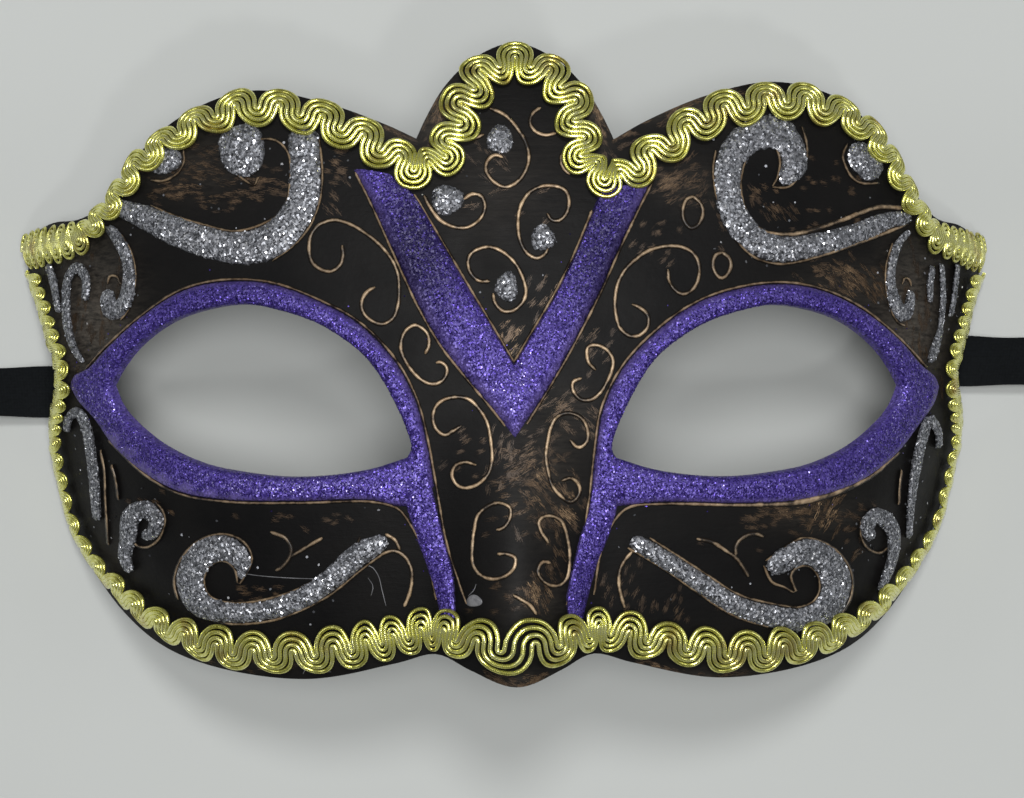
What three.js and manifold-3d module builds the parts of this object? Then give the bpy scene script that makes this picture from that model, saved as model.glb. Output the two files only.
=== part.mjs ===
// Masquerade eye mask lying face up: a moulded plastic half mask, hollow behind,
// with gimp braid glued round its rim and a ribbon tie inside each temple.
// Millimetres. +X is the mask's left to right as seen, +Y runs from chin to brow,
// +Z is the way the face looks. The origin is on the table under the middle.

import * as THREE from 'three';
import { mergeVertices } from 'three/addons/utils/BufferGeometryUtils.js';
import Module from 'manifold-3d';

// Form of the face
const faceDepth = 52;             // table to the middle of the face, at its fullest level
const fullestLevel = -1;          // y of that level
const browFallBack = 0.0036;      // fall of the face above it, per square millimetre
const cheekFallBack = 0.0028;     // fall of the face below it
const templeHalfWidth = 89;       // where the face would reach the table, at the temples
const templeLevel = 22;           // y below which the face narrows
const cheekNarrowing = 0.0032;    // narrowing below that level
const archWidening = 2;           // widening that lifts the rim off the table where the ribbons pass
const archLevel = -3.5;
const archSpan = 9;
const roundShare = 0.43;          // share of the round curve in the cross profile
const roundPower = 2;
const sidePower = 5;              // power of the steep sides of the cross profile
const wall = 1.6;                 // plastic thickness

// Nose ridge
const noseRise = 9;
const noseHalfWidth = 15;
const noseTopLevel = 2;
const noseLength = 55;

// Trim
const ribbonGap = 0.4;            // clearance between ribbon and plastic
const braidGap = 0.6;             // glue line between braid and plastic
const braidHalfWidth = 3.85;      // where its share is 1
const braidThickness = 1.3;
const braidEdgeShare = 0.65;      // thickness of the braid at its edges
const braidStep = 2.9;            // length of one step along the braid
const ribbonHalfWidth = 4.75;
const ribbonThickness = 0.45;

// Meshing
const columns = 54;
const rows = 33;
const sheetHalfWidth = 92;
const sheetHalfHeight = 58;
const sideCrowding = 1.1;         // crowds the columns towards the steep sides, radians
const prismHeight = 80;
const rimStep = 2.4;
const slopeProbe = 0.05;
const walkSteps = 6;
const ribbonOuterSide = 2;        // split like the inner side, so a twisted ribbon keeps its thickness

// Rim of one half of the mask, in two runs that start at the middle and meet in the crest notch.
// The right brow lies higher than the level given by its skew, and the left one lower.
const rimRuns = {
  crest: [
    { name: 'crest top', x: 0, y: 54.6 },
    { name: 'crest round', x: 6.6, y: 52 },
    { name: 'crest side', x: 11.7, y: 47 },
    { name: 'crest foot', x: 14.9, y: 41.5 },
    { name: 'crest notch', x: 16.6, y: 37.7 },
  ],
  side: [
    { name: 'nose bottom', x: 0, y: -53.6 },
    { name: 'nose side', x: 7.6, y: -51.2 },
    { name: 'nose notch', x: 13.2, y: -48.9 },
    { name: 'nose wing', x: 20, y: -50.6 },
    { name: 'cheek bottom', x: 36, y: -53.8 },
    { name: 'cheek underside', x: 59, y: -51 },
    { name: 'cheek corner', x: 69, y: -45.6 },
    { name: 'cheek turn', x: 77.4, y: -36.5 },
    { name: 'cheek rest', x: 81.3, y: -29 },
    { name: 'cheek side', x: 82.8, y: -21 },
    { name: 'cheek top', x: 83.2, y: -11.5 },
    { name: 'ribbon waist', x: 80.4, y: -2 },
    { name: 'temple', x: 84.6, y: 10 },
    { name: 'ear tip', x: 89.8, y: 19.6 },
    { name: 'ear corner', x: 88.2, y: 23.6 },
    { name: 'ear top', x: 83, y: 25.8 },
    { name: 'ear root', x: 76.6, y: 26.2, skew: 0.3 },
    { name: 'brow end', x: 71.8, y: 29.2, skew: 1.3 },
    { name: 'brow shoulder', x: 65.3, y: 37.7, skew: 1.7 },
    { name: 'brow back', x: 56.8, y: 44.5, skew: 1.7 },
    { name: 'brow top', x: 45, y: 47.6, skew: 1 },
    { name: 'brow front', x: 33, y: 45.1, skew: 0.7 },
    { name: 'brow rise', x: 22, y: 40.6, skew: 0.3 },
    { name: 'crest notch', x: 16.6, y: 37.7 },
  ],
};

// Opening of one eye: the lid runs from the outer corner to the inner corner, the lower edge runs back.
const eyeDrift = -0.75;           // both openings lie this far to one side of the middle
const eyeRuns = [
  [
    { name: 'outer corner', x: 69.8, y: -3.8 },
    { name: 'lid end', x: 67.8, y: -0.6 },
    { name: 'lid outer', x: 63.6, y: 3.9 },
    { name: 'lid round', x: 56.3, y: 8.2 },
    { name: 'lid top', x: 45.2, y: 10.3 },
    { name: 'lid fall', x: 38.3, y: 9.1 },
    { name: 'lid inner', x: 31.2, y: 6.4 },
    { name: 'bridge top', x: 24.6, y: 1.7 },
    { name: 'bridge side', x: 21.3, y: -2.5 },
    { name: 'inner fall', x: 17.3, y: -10.8 },
    { name: 'inner corner', x: 16.4, y: -14.6 },
    { name: 'inner round', x: 17.2, y: -16.1 },
  ],
  [
    { name: 'inner round', x: 17.2, y: -16.1 },
    { name: 'lower inner', x: 24.1, y: -18.2 },
    { name: 'lower middle', x: 36, y: -19.5 },
    { name: 'lower bow', x: 46.4, y: -18.7 },
    { name: 'lower turn', x: 52.9, y: -17.4 },
    { name: 'lower outer', x: 60.4, y: -14.2 },
    { name: 'lower rise', x: 66.1, y: -9.9 },
    { name: 'lower end', x: 68.3, y: -7.3 },
    { name: 'outer corner', x: 69.8, y: -3.8 },
  ],
];

// Centre lines of the braid on one half of the mask, with the share of its width where it is squeezed
const braidTopRoute = [
  { name: 'crest top', x: 0, y: 50.6 },
  { name: 'crest round', x: 4.8, y: 48.8 },
  { name: 'crest side', x: 8.2, y: 43.9 },
  { name: 'crest foot', x: 10.1, y: 38.6 },
  { name: 'notch turn in', x: 12, y: 34, share: 0.95 },
  { name: 'notch turn out', x: 16.4, y: 32.4, share: 0.95 },
  { name: 'brow rise', x: 22.2, y: 35.6, skew: 0.2, share: 0.95 },
  { name: 'brow front', x: 33, y: 41.2, skew: 0.3, share: 0.95 },
  { name: 'brow top', x: 45, y: 44, skew: 0.9, share: 0.95 },
  { name: 'brow back', x: 56, y: 41.4, skew: 1.8, share: 0.85 },
  { name: 'brow shoulder', x: 63.6, y: 36.2, skew: 1.8, share: 0.78 },
  { name: 'brow end', x: 68.8, y: 29, skew: 1.2, share: 0.76 },
  { name: 'ear root', x: 74.6, y: 23, skew: 0.3, share: 0.86 },
  { name: 'ear', x: 82.4, y: 21.6 },
  { name: 'ear tip', x: 87.4, y: 21.2 },
];
const braidBottomRoute = [
  { name: 'nose', x: 0, y: -46.5, share: 1.25 },
  { name: 'nose side', x: 6, y: -45.9, share: 1.18 },
  { name: 'nose notch', x: 13, y: -44.2, share: 1.1 },
  { name: 'nose wing', x: 21.5, y: -45.8, share: 1.1 },
  { name: 'cheek bottom', x: 35, y: -48.6, share: 1.1 },
  { name: 'cheek underside', x: 51, y: -48, share: 1.08 },
  { name: 'cheek corner', x: 63.2, y: -43.8 },
  { name: 'cheek turn', x: 72.6, y: -36.8, share: 0.9 },
  { name: 'cheek rest', x: 78.5, y: -29.4, share: 0.76 },
  { name: 'cheek side', x: 80.9, y: -21, share: 0.68 },
  { name: 'cheek top', x: 81.7, y: -11.6, share: 0.68 },
  { name: 'ribbon waist', x: 79, y: -2.2, share: 0.66 },
  { name: 'temple', x: 82.9, y: 9.2, share: 0.68 },
  { name: 'ear', x: 86.5, y: 16.8, share: 0.74 },
];

// Ribbon ties: a glued stretch up the inner face, given by its x, then a free stretch onto the table.
const ribbonLevels = { ribbon_left: -4.7, ribbon_right: 1.1 };
const ribbonGlued = [72.6, 74.2, 75.8, 77.2, 78.6, 79.8];
const ribbonFree = [
  { out: 79.9, rise: 9.6, lean: -4 },
  { out: 81.2, rise: 6.7, lean: -4 },
  { out: 82.8, rise: 4.3, lean: -2 },
  { out: 84.6, rise: 3.1, lean: 2 },
  { out: 87, rise: 2.6, lean: 8 },
  { out: 90, rise: 2.5, lean: 18 },
  { out: 93.5, rise: 2.5, lean: 24 },
  { out: 98, rise: 2.3, lean: 22 },
  { out: 104, rise: 1.5, lean: 13 },
  { out: 112, rise: 0.7, lean: 4 },
  { out: 121, rise: 0.3, lean: 0 },
];

const plastic = { color: 0x141416, roughness: 0.35, metalness: 0 };
const goldThread = { color: 0xb9a83c, roughness: 0.4, metalness: 0.6 };
const blackRibbon = { color: 0x0c0e10, roughness: 0.5, metalness: 0 };

const wasm = await Module();
wasm.setup();

// Height of the outer face over the table
function faceHeight(x, y) {
  const above = Math.max(y - fullestLevel, 0);
  const below = Math.max(fullestLevel - y, 0);
  const depth = faceDepth - browFallBack * above ** 2 - cheekFallBack * below ** 2;
  const narrowing = cheekNarrowing * Math.max(templeLevel - y, 0) ** 2;
  const arch = archWidening * Math.exp(-(((y - archLevel) / archSpan) ** 2));
  const halfWidth = templeHalfWidth - narrowing + arch;
  const t = Math.abs(x) / halfWidth;
  const fall = roundShare * t ** roundPower + (1 - roundShare) * t ** sidePower;
  const along = THREE.MathUtils.smoothstep((noseTopLevel - y) / noseLength, 0, 1);
  const across = Math.min(Math.abs(x) / noseHalfWidth, 1);
  const ridge = noseRise * along * Math.cos(across * Math.PI / 2) ** 2;
  return depth * (1 - fall) + ridge;
}

// Point at a distance out of the outer face, square to it
function facePoint(x, y, outward) {
  const slopeX = (faceHeight(x + slopeProbe, y) - faceHeight(x - slopeProbe, y)) / (2 * slopeProbe);
  const slopeY = (faceHeight(x, y + slopeProbe) - faceHeight(x, y - slopeProbe)) / (2 * slopeProbe);
  const normal = new THREE.Vector3(-slopeX, -slopeY, 1).normalize();
  return new THREE.Vector3(x, y, faceHeight(x, y)).addScaledVector(normal, outward);
}

// Plan point reached by walking a true distance over the face in a plan direction
function walkFace(start, direction, distance) {
  const place = start.clone();
  const step = distance / walkSteps;
  for (let i = 0; i < walkSteps; i += 1) {
    const ahead = place.clone().addScaledVector(direction, slopeProbe);
    const slope = (faceHeight(ahead.x, ahead.y) - faceHeight(place.x, place.y)) / slopeProbe;
    place.addScaledVector(direction, step / Math.hypot(1, slope));
  }
  return place;
}

// Smooth plan curve through knots, which keeps close to them where they crowd
function planCurve(knots) {
  const places = knots.map((knot) => new THREE.Vector3(knot.x, knot.y, 0));
  return new THREE.CatmullRomCurve3(places, false, 'centripetal');
}

// Even points along a smooth run of knots
function smoothRun(knots, spacing) {
  const curve = planCurve(knots);
  const places = curve.getSpacedPoints(Math.ceil(curve.getLength() / spacing));
  return places.map((place) => new THREE.Vector2(place.x, place.y));
}

// Knots of the whole width from those of one half, which start at the middle
function bothHalves(half) {
  const right = half.map((knot) => ({ ...knot, y: knot.y + (knot.skew ?? 0) }));
  const left = half.slice(1).map((knot) => ({ ...knot, x: -knot.x, y: knot.y - (knot.skew ?? 0) }));
  return [...left.reverse(), ...right];
}

// Share of the braid's width at a place along its curve, between those of the knots beside it
function widthShare(curve, knots, place) {
  const t = curve.getUtoTmapping(place) * (knots.length - 1);
  const before = Math.min(Math.floor(t), knots.length - 2);
  const [from, to] = [knots[before], knots[before + 1]].map((knot) => knot.share ?? 1);
  return THREE.MathUtils.lerp(from, to, t - before);
}

// Closed plan outline through runs that meet in corners
function joinedRuns(runs, spacing) {
  return runs.flatMap((knots) => smoothRun(knots, spacing).slice(0, -1));
}

// Plan outline of the eye opening of one side, which is 1 for the right and -1 for the left
function eyeOutline(side) {
  return joinedRuns(eyeRuns, rimStep).map((point) => new THREE.Vector2(side * point.x + eyeDrift, point.y));
}

// Closed body from rings of points, each ring joined to the next and both ends capped.
// The turned sides are split along their other diagonal.
function ringBody(rings, turnedSides = []) {
  const perRing = rings[0].length;
  const positions = rings.flat().flatMap((point) => point.toArray());
  const faces = [];
  for (let r = 0; r + 1 < rings.length; r += 1) {
    for (let i = 0; i < perRing; i += 1) {
      const next = (i + 1) % perRing;
      const a = r * perRing + i;
      const b = r * perRing + next;
      const c = b + perRing;
      const d = a + perRing;
      if (turnedSides.includes(i)) faces.push(a, d, b, d, c, b);
      else faces.push(a, c, b, a, d, c);
    }
  }
  const last = (rings.length - 1) * perRing;
  for (let i = 1; i + 1 < perRing; i += 1) {
    faces.push(0, i, i + 1, last, last + i + 1, last + i);
  }
  const geometry = new THREE.BufferGeometry();
  geometry.setAttribute('position', new THREE.Float32BufferAttribute(positions, 3));
  geometry.setIndex(faces);
  return geometry;
}

function solidFrom(geometry) {
  const bare = geometry.clone();
  bare.deleteAttribute('normal');
  bare.deleteAttribute('uv');
  const merged = mergeVertices(bare);
  const mesh = new wasm.Mesh({
    numProp: 3,
    vertProperties: new Float32Array(merged.attributes.position.array),
    triVerts: new Uint32Array(merged.index.array),
  });
  return new wasm.Manifold(mesh);
}

function geometryFrom(solid) {
  const mesh = solid.getMesh();
  const geometry = new THREE.BufferGeometry();
  geometry.setAttribute('position', new THREE.BufferAttribute(mesh.vertProperties, 3));
  geometry.setIndex(new THREE.BufferAttribute(mesh.triVerts, 1));
  geometry.computeVertexNormals();
  return geometry;
}

function finishedMesh(name, geometry, finish) {
  const mesh = new THREE.Mesh(geometry, new THREE.MeshStandardMaterial(finish));
  mesh.name = name;
  return mesh;
}

// Sheet of plastic in the form of the face, wider than the rim, as columns of outer and inner points
function faceSheet() {
  const rings = [];
  for (let c = 0; c <= columns; c += 1) {
    const turn = sideCrowding * (2 * c / columns - 1);
    const x = sheetHalfWidth * Math.sin(turn) / Math.sin(sideCrowding);
    const outer = [];
    const inner = [];
    for (let r = 0; r <= rows; r += 1) {
      const y = sheetHalfHeight * (2 * r / rows - 1);
      outer.push(facePoint(x, y, 0));
      inner.unshift(facePoint(x, y, -wall));
    }
    rings.push([...inner, ...outer]);
  }
  return sheetBody(rings);
}

// Closed body from columns that each hold an inner run followed by an outer run
function sheetBody(rings) {
  const geometry = ringBody(rings);
  const perRing = rings[0].length;
  const half = perRing / 2;
  const sides = (rings.length - 1) * perRing * 6;
  const faces = Array.from(geometry.index.array.slice(0, sides));
  const last = (rings.length - 1) * perRing;
  for (let i = 0; i + 1 < half; i += 1) {
    const across = perRing - 1 - i;
    faces.push(i, across - 1, across, i, i + 1, across - 1);
    faces.push(last + i, last + across, last + across - 1, last + i, last + across - 1, last + i + 1);
  }
  geometry.setIndex(faces);
  return geometry;
}

function makeShell() {
  const rim = joinedRuns([bothHalves(rimRuns.crest), bothHalves(rimRuns.side).reverse()], rimStep);
  const outline = new THREE.Shape(rim);
  outline.holes = [new THREE.Path(eyeOutline(1)), new THREE.Path(eyeOutline(-1).reverse())];
  const prism = new THREE.ExtrudeGeometry(outline, { depth: prismHeight, bevelEnabled: false });
  const solid = solidFrom(faceSheet()).intersect(solidFrom(prism));
  return finishedMesh('shell', geometryFrom(solid), plastic);
}

// Braid lying on the face along a plan route, from one side of the mask to the other
function makeBraid(name, halfRoute) {
  const knots = bothHalves(halfRoute);
  const curve = planCurve(knots);
  const steps = Math.ceil(curve.getLength() / braidStep);
  const rings = [];
  for (let i = 0; i <= steps; i += 1) {
    const middle = curve.getPointAt(i / steps);
    const along = curve.getTangentAt(i / steps);
    const left = new THREE.Vector3(-along.y, along.x, 0);
    const halfWidth = braidHalfWidth * widthShare(curve, knots, i / steps);
    const leftEdge = walkFace(middle, left, halfWidth);
    const rightEdge = walkFace(middle, left.clone().negate(), halfWidth);
    const edgeTop = braidGap + braidThickness * braidEdgeShare;
    rings.push([
      facePoint(leftEdge.x, leftEdge.y, braidGap),
      facePoint(middle.x, middle.y, braidGap),
      facePoint(rightEdge.x, rightEdge.y, braidGap),
      facePoint(rightEdge.x, rightEdge.y, edgeTop),
      facePoint(middle.x, middle.y, braidGap + braidThickness),
      facePoint(leftEdge.x, leftEdge.y, edgeTop),
    ]);
  }
  return finishedMesh(name, ringBody(rings), goldThread);
}

// Ribbon tie of one side: side is 1 for the right and -1 for the left
function makeRibbon(name, side) {
  const level = ribbonLevels[name];
  const low = level - ribbonHalfWidth;
  const high = level + ribbonHalfWidth;
  const glued = ribbonGlued.map((x) => {
    const back = -wall - ribbonGap;
    return [
      facePoint(side * x, low, back - ribbonThickness),
      facePoint(side * x, high, back - ribbonThickness),
      facePoint(side * x, high, back),
      facePoint(side * x, low, back),
    ];
  });
  const free = ribbonFree.map((knot) => {
    const lean = THREE.MathUtils.degToRad(knot.lean);
    const reach = ribbonHalfWidth * Math.cos(lean);
    const lift = ribbonHalfWidth * Math.sin(lean);
    const x = side * knot.out;
    return [
      new THREE.Vector3(x, level - reach, knot.rise + lift),
      new THREE.Vector3(x, level + reach, knot.rise - lift),
      new THREE.Vector3(x, level + reach, knot.rise - lift + ribbonThickness),
      new THREE.Vector3(x, level - reach, knot.rise + lift + ribbonThickness),
    ];
  });
  const rings = [...glued, ...free];
  return finishedMesh(name, ringBody(side > 0 ? rings.reverse() : rings, [ribbonOuterSide]), blackRibbon);
}

const mask = new THREE.Group();
mask.name = 'eye_mask';
mask.add(makeShell());
mask.add(makeBraid('braid_top', braidTopRoute));
mask.add(makeBraid('braid_bottom', braidBottomRoute));
mask.add(makeRibbon('ribbon_left', -1));
mask.add(makeRibbon('ribbon_right', 1));

export default mask;
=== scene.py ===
import math

import bpy
import numpy as np
from mathutils import Matrix


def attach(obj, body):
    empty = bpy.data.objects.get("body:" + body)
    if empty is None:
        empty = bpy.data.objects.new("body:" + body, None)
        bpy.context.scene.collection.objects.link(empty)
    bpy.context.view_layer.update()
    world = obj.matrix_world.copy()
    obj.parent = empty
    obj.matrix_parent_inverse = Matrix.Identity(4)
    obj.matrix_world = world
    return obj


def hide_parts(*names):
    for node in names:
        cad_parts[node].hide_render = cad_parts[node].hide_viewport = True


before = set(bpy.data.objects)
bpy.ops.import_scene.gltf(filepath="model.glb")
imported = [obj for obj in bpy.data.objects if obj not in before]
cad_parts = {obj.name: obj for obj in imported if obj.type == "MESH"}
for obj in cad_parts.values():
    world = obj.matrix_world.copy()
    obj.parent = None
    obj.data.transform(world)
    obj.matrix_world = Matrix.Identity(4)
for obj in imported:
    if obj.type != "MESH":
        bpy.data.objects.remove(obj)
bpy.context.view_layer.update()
bpy.ops.object.select_all(action="DESELECT")
dice = np.random.default_rng(11)
mm = 0.001         # everything below is worked out in millimetres and made in metres
slopeProbe = 0.05  # step that measures the slope of the face
walkSteps = 6

# Form of the face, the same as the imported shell's
face = {
    "depth": 52.0,           # table to the middle of the face at its fullest level
    "fullestLevel": -1.0,
    "browFallBack": 0.0036,  # per square millimetre above that level
    "cheekFallBack": 0.0028,
    "templeHalfWidth": 89.0,
    "templeLevel": 22.0,     # the face narrows below it
    "cheekNarrowing": 0.0032,
    "archWidening": 2.0,     # lifts the rim where the ribbons pass
    "archLevel": -3.5,
    "archSpan": 9.0,
    "roundShare": 0.43,
    "roundPower": 2,
    "sidePower": 5,
    "wall": 1.6,
    "noseRise": 9.0,
    "noseHalfWidth": 15.0,
    "noseTopLevel": 2.0,
    "noseLength": 55.0,
}

# How the photo was taken: the mask is seen from straight above, a little from its left
photo = {
    "width": 1024,
    "height": 798,
    "eye": (-14.0, -6.0, 450.0),
    "aim": (1.0, -6.0, 0.0),
    "lens": 84.6,
    "sensor": 36.0,
    "clipStart": 0.02,
    "levels": (70, -2, 289),  # heights tried along each line of sight: from, to, how many
    "settling": 4,            # rounds that settle a raised place over its plan point
}


def unit(vectors):
    return vectors / np.maximum(np.linalg.norm(vectors, axis=-1, keepdims=True), 1e-9)


def leftOf(headings):
    return np.stack([-headings[:, 1], headings[:, 0]], axis=1)


def headingsOf(turns):
    return np.stack([np.cos(turns), np.sin(turns)], axis=1)


def faceHeight(x, y):
    above = np.maximum(y - face["fullestLevel"], 0)
    below = np.maximum(face["fullestLevel"] - y, 0)
    depth = face["depth"] - face["browFallBack"] * above ** 2 - face["cheekFallBack"] * below ** 2
    narrowing = face["cheekNarrowing"] * np.maximum(face["templeLevel"] - y, 0) ** 2
    arch = face["archWidening"] * np.exp(-((y - face["archLevel"]) / face["archSpan"]) ** 2)
    t = np.abs(x) / (face["templeHalfWidth"] - narrowing + arch)
    share = face["roundShare"]
    fall = share * t ** face["roundPower"] + (1 - share) * t ** face["sidePower"]
    along = np.clip((face["noseTopLevel"] - y) / face["noseLength"], 0, 1)
    along = along * along * (3 - 2 * along)
    across = np.minimum(np.abs(x) / face["noseHalfWidth"], 1)
    ridge = face["noseRise"] * along * np.cos(across * math.pi / 2) ** 2
    return depth * (1 - fall) + ridge


def faceNormal(x, y):
    slopeX = (faceHeight(x + slopeProbe, y) - faceHeight(x - slopeProbe, y)) / (2 * slopeProbe)
    slopeY = (faceHeight(x, y + slopeProbe) - faceHeight(x, y - slopeProbe)) / (2 * slopeProbe)
    return unit(np.stack([-slopeX, -slopeY, np.ones_like(slopeX)], axis=-1))


# Points of the face over plan points, raised square to it
def onFace(plan, lift=0.0):
    x = plan[..., 0]
    y = plan[..., 1]
    base = np.stack([x, y, faceHeight(x, y)], axis=-1)
    return base + faceNormal(x, y) * np.asarray(lift)[..., None]


# Walks a true distance over the face from plan points, in plan directions
def walkFace(start, direction, distance):
    place = start.copy()
    sign = np.sign(distance)[:, None] * direction
    for _ in range(walkSteps):
        slope = (faceHeight(*(place + sign * slopeProbe).T) - faceHeight(*place.T)) / slopeProbe
        place += sign * (np.abs(distance) / walkSteps / np.hypot(1, slope))[:, None]
    return place


def viewAxes():
    eye = np.array(photo["eye"])
    ahead = unit(np.array(photo["aim"]) - eye)
    right = unit(np.cross(ahead, (0.0, 1.0, 0.0)))
    return eye, ahead, right, np.cross(right, ahead)


def focalPixels():
    return photo["lens"] / photo["sensor"] * photo["width"]


# Plan points whose places on the face, raised by lift, show at these pixels
def fromPhoto(pixels, lift=0.0):
    eye, ahead, right, up = viewAxes()
    across = (pixels[:, :1] - photo["width"] / 2) / focalPixels()
    rise = (photo["height"] / 2 - pixels[:, 1:2]) / focalPixels()
    rays = ahead + across * right + rise * up
    levels = np.linspace(*photo["levels"])
    reach = (levels - eye[2]) / rays[:, 2:]
    x = eye[0] + rays[:, :1] * reach
    y = eye[1] + rays[:, 1:2] * reach
    over = levels - faceHeight(x, y) - lift / faceNormal(x, y)[..., 2]
    row = np.arange(len(pixels))
    missed = ~(over <= 0).any(axis=1)
    struck = np.where(missed, np.argmin(over, axis=1), np.maximum(np.argmax(over <= 0, axis=1), 1))
    before = over[row, struck - 1]
    share = np.where(missed, 1.0, before / np.maximum(before - over[row, struck], 1e-9))
    hit = [line[row, struck - 1] + share * (line[row, struck] - line[row, struck - 1]) for line in (x, y)]
    hit = np.stack(hit, axis=1)
    plan = hit
    for _ in range(photo["settling"]):
        plan = hit - lift * faceNormal(*plan.T)[:, :2]
    return plan


def toPhoto(points):
    eye, ahead, right, up = viewAxes()
    ray = points - eye
    depth = ray @ ahead
    px = photo["width"] / 2 + focalPixels() * (ray @ right) / depth
    py = photo["height"] / 2 - focalPixels() * (ray @ up) / depth
    return px, py


# Sum of soft patches at places: pixel x, y, reach x, reach y, strength
def patchesAt(places, patches):
    px, py = toPhoto(places)
    total = np.zeros(len(px))
    for x, y, reachX, reachY, strength in patches:
        total += strength * np.exp(-((px - x) / reachX) ** 2 - ((py - y) / reachY) ** 2)
    return total


# Smooth curve through knots that keeps close to them, with perSpan points in each span
def splineLine(knots, perSpan=20):
    knots = np.asarray(knots, float)
    padded = np.vstack([2 * knots[0] - knots[1], knots, 2 * knots[-1] - knots[-2]])
    places = padded[:, :min(3, padded.shape[1])]
    gaps = np.sqrt(np.linalg.norm(np.diff(places, axis=0), axis=1)) + 1e-6
    spans = []
    for i in range(len(knots) - 1):
        a, b, c, d = padded[i:i + 4]
        t1 = gaps[i]
        t2 = t1 + gaps[i + 1]
        t3 = t2 + gaps[i + 2]
        t = np.linspace(t1, t2, perSpan, endpoint=False)[:, None]
        ab = a * (t1 - t) / t1 + b * t / t1
        bc = b * (t2 - t) / (t2 - t1) + c * (t - t1) / (t2 - t1)
        cd = c * (t3 - t) / (t3 - t2) + d * (t - t2) / (t3 - t2)
        abc = ab * (t2 - t) / t2 + bc * t / t2
        bcd = bc * (t3 - t) / (t3 - t1) + cd * (t - t1) / (t3 - t1)
        spans.append(abc * (t2 - t) / (t2 - t1) + bcd * (t - t1) / (t2 - t1))
    return np.vstack(spans + [knots[-1:]])


def runLength(line):
    return np.concatenate([[0], np.cumsum(np.linalg.norm(np.diff(line, axis=0), axis=1))])


# Rows of a table read off between its known places
def rowsAt(wanted, known, table):
    return np.stack([np.interp(wanted, known, column) for column in table.T], axis=1)


# Rows of a line at shares of its length, which is measured in its first two columns
def atShares(line, shares):
    run = runLength(line[:, :2])
    return rowsAt(shares * run[-1], run, line)


def evenLine(knots, spacing):
    line = splineLine(knots)
    count = max(int(round(runLength(line[:, :2])[-1] / spacing)), 3)
    return atShares(line, np.linspace(0, 1, count + 1))


def selectOnly(piece):
    bpy.ops.object.select_all(action="DESELECT")
    piece.select_set(True)
    bpy.context.view_layer.objects.active = piece


def editAll(piece):
    selectOnly(piece)
    bpy.ops.object.mode_set(mode="EDIT")
    bpy.ops.mesh.select_all(action="SELECT")


def leaveEdit():
    bpy.ops.object.mode_set(mode="OBJECT")


# Goes into edit mode with only the chosen edges or faces selected
def editSelected(piece, kind, chosen):
    editAll(piece)
    bpy.ops.mesh.select_mode(type=kind)
    bpy.ops.mesh.select_all(action="DESELECT")
    leaveEdit()
    parts = piece.data.edges if kind == "EDGE" else piece.data.polygons
    parts.foreach_set("select", chosen)
    bpy.ops.object.mode_set(mode="EDIT")


def applyModifier(piece, kind, **settings):
    selectOnly(piece)
    bpy.ops.object.modifier_add(type=kind)
    modifier = piece.modifiers[-1]
    for setting, value in settings.items():
        setattr(modifier, setting, value)
    bpy.ops.object.modifier_apply(modifier=modifier.name)


def readPlaces(piece):
    places = np.empty(len(piece.data.vertices) * 3)
    piece.data.vertices.foreach_get("co", places)
    return places.reshape(-1, 3)


def setPlaces(piece, places):
    piece.data.vertices.foreach_set("co", np.ascontiguousarray(places).ravel())
    piece.data.update()


def setAttribute(piece, name, values):
    attribute = piece.data.attributes.new(name, "FLOAT", "POINT")
    attribute.data.foreach_set("value", np.ascontiguousarray(values, dtype=np.float32).ravel())


def addPrimitive(name, add, **settings):
    bpy.ops.object.select_all(action="DESELECT")
    add(**settings)
    piece = bpy.context.object
    piece.name = name
    return piece


def joinPieces(name, parts):
    selectOnly(parts[0])
    for part in parts:
        part.select_set(True)
    bpy.ops.object.join()
    parts[0].name = name
    return parts[0]


def cleanUp(piece, smoothAngle=None):
    editAll(piece)
    bpy.ops.mesh.normals_make_consistent(inside=False)
    leaveEdit()
    if smoothAngle is not None:
        bpy.ops.object.shade_smooth_by_angle(angle=math.radians(smoothAngle))


def handIn(piece, node=None):
    piece.data.name = piece.name
    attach(piece, "root")
    if node:
        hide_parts(node)
    print("made", piece.name, "with", len(piece.data.polygons), "faces")


def finishPiece(piece, material, node=None):
    piece.data.materials.append(material)
    handIn(piece, node)


def overTable(places):
    return np.concatenate([places[..., :2], np.maximum(places[..., 2:], 0)], axis=-1)


# A rod whose rings of points are given: a cylinder cut across and then bent to them
def addRod(name, rings):
    count, sides = rings.shape[:2]
    rod = addPrimitive(name, bpy.ops.mesh.primitive_cylinder_add, vertices=sides, radius=1, depth=2,
                       end_fill_type="NGON")
    ends = np.empty(len(rod.data.edges) * 2, np.int32)
    rod.data.edges.foreach_get("vertices", ends)
    levels = readPlaces(rod)[ends, 2]
    editSelected(rod, "EDGE", levels[0::2] * levels[1::2] < 0)
    bpy.ops.mesh.subdivide(number_cuts=count - 2)
    leaveEdit()
    places = readPlaces(rod)
    ring = np.rint((places[:, 2] + 1) / 2 * (count - 1)).astype(int)
    turn = np.arctan2(places[:, 1], places[:, 0]) / (2 * math.pi) * sides
    turn = np.rint(turn - turn[0]).astype(int) % sides
    setPlaces(rod, overTable(rings[ring, turn]) * mm)
    return rod, ring, turn


def newMaterial(name):
    material = bpy.data.materials.new(name)
    material.use_nodes = True
    return material, material.node_tree


# Joins a source to a socket, or sets the socket to a plain value or colour
def feed(tree, source, socket):
    if isinstance(source, bpy.types.NodeSocket):
        tree.links.new(source, socket)
    elif socket.type == "RGBA":
        socket.default_value = (*source, 1.0)
    else:
        socket.default_value = source


def finishMaterial(material, sockets):
    tree = material.node_tree
    for socket, source in sockets.items():
        feed(tree, source, tree.nodes["Principled BSDF"].inputs[socket])
    return material


def addNode(tree, kind, sockets=None, **settings):
    node = tree.nodes.new(kind)
    for setting, value in settings.items():
        setattr(node, setting, value)
    for socket, source in (sockets or {}).items():
        feed(tree, source, node.inputs[socket])
    return node


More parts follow.
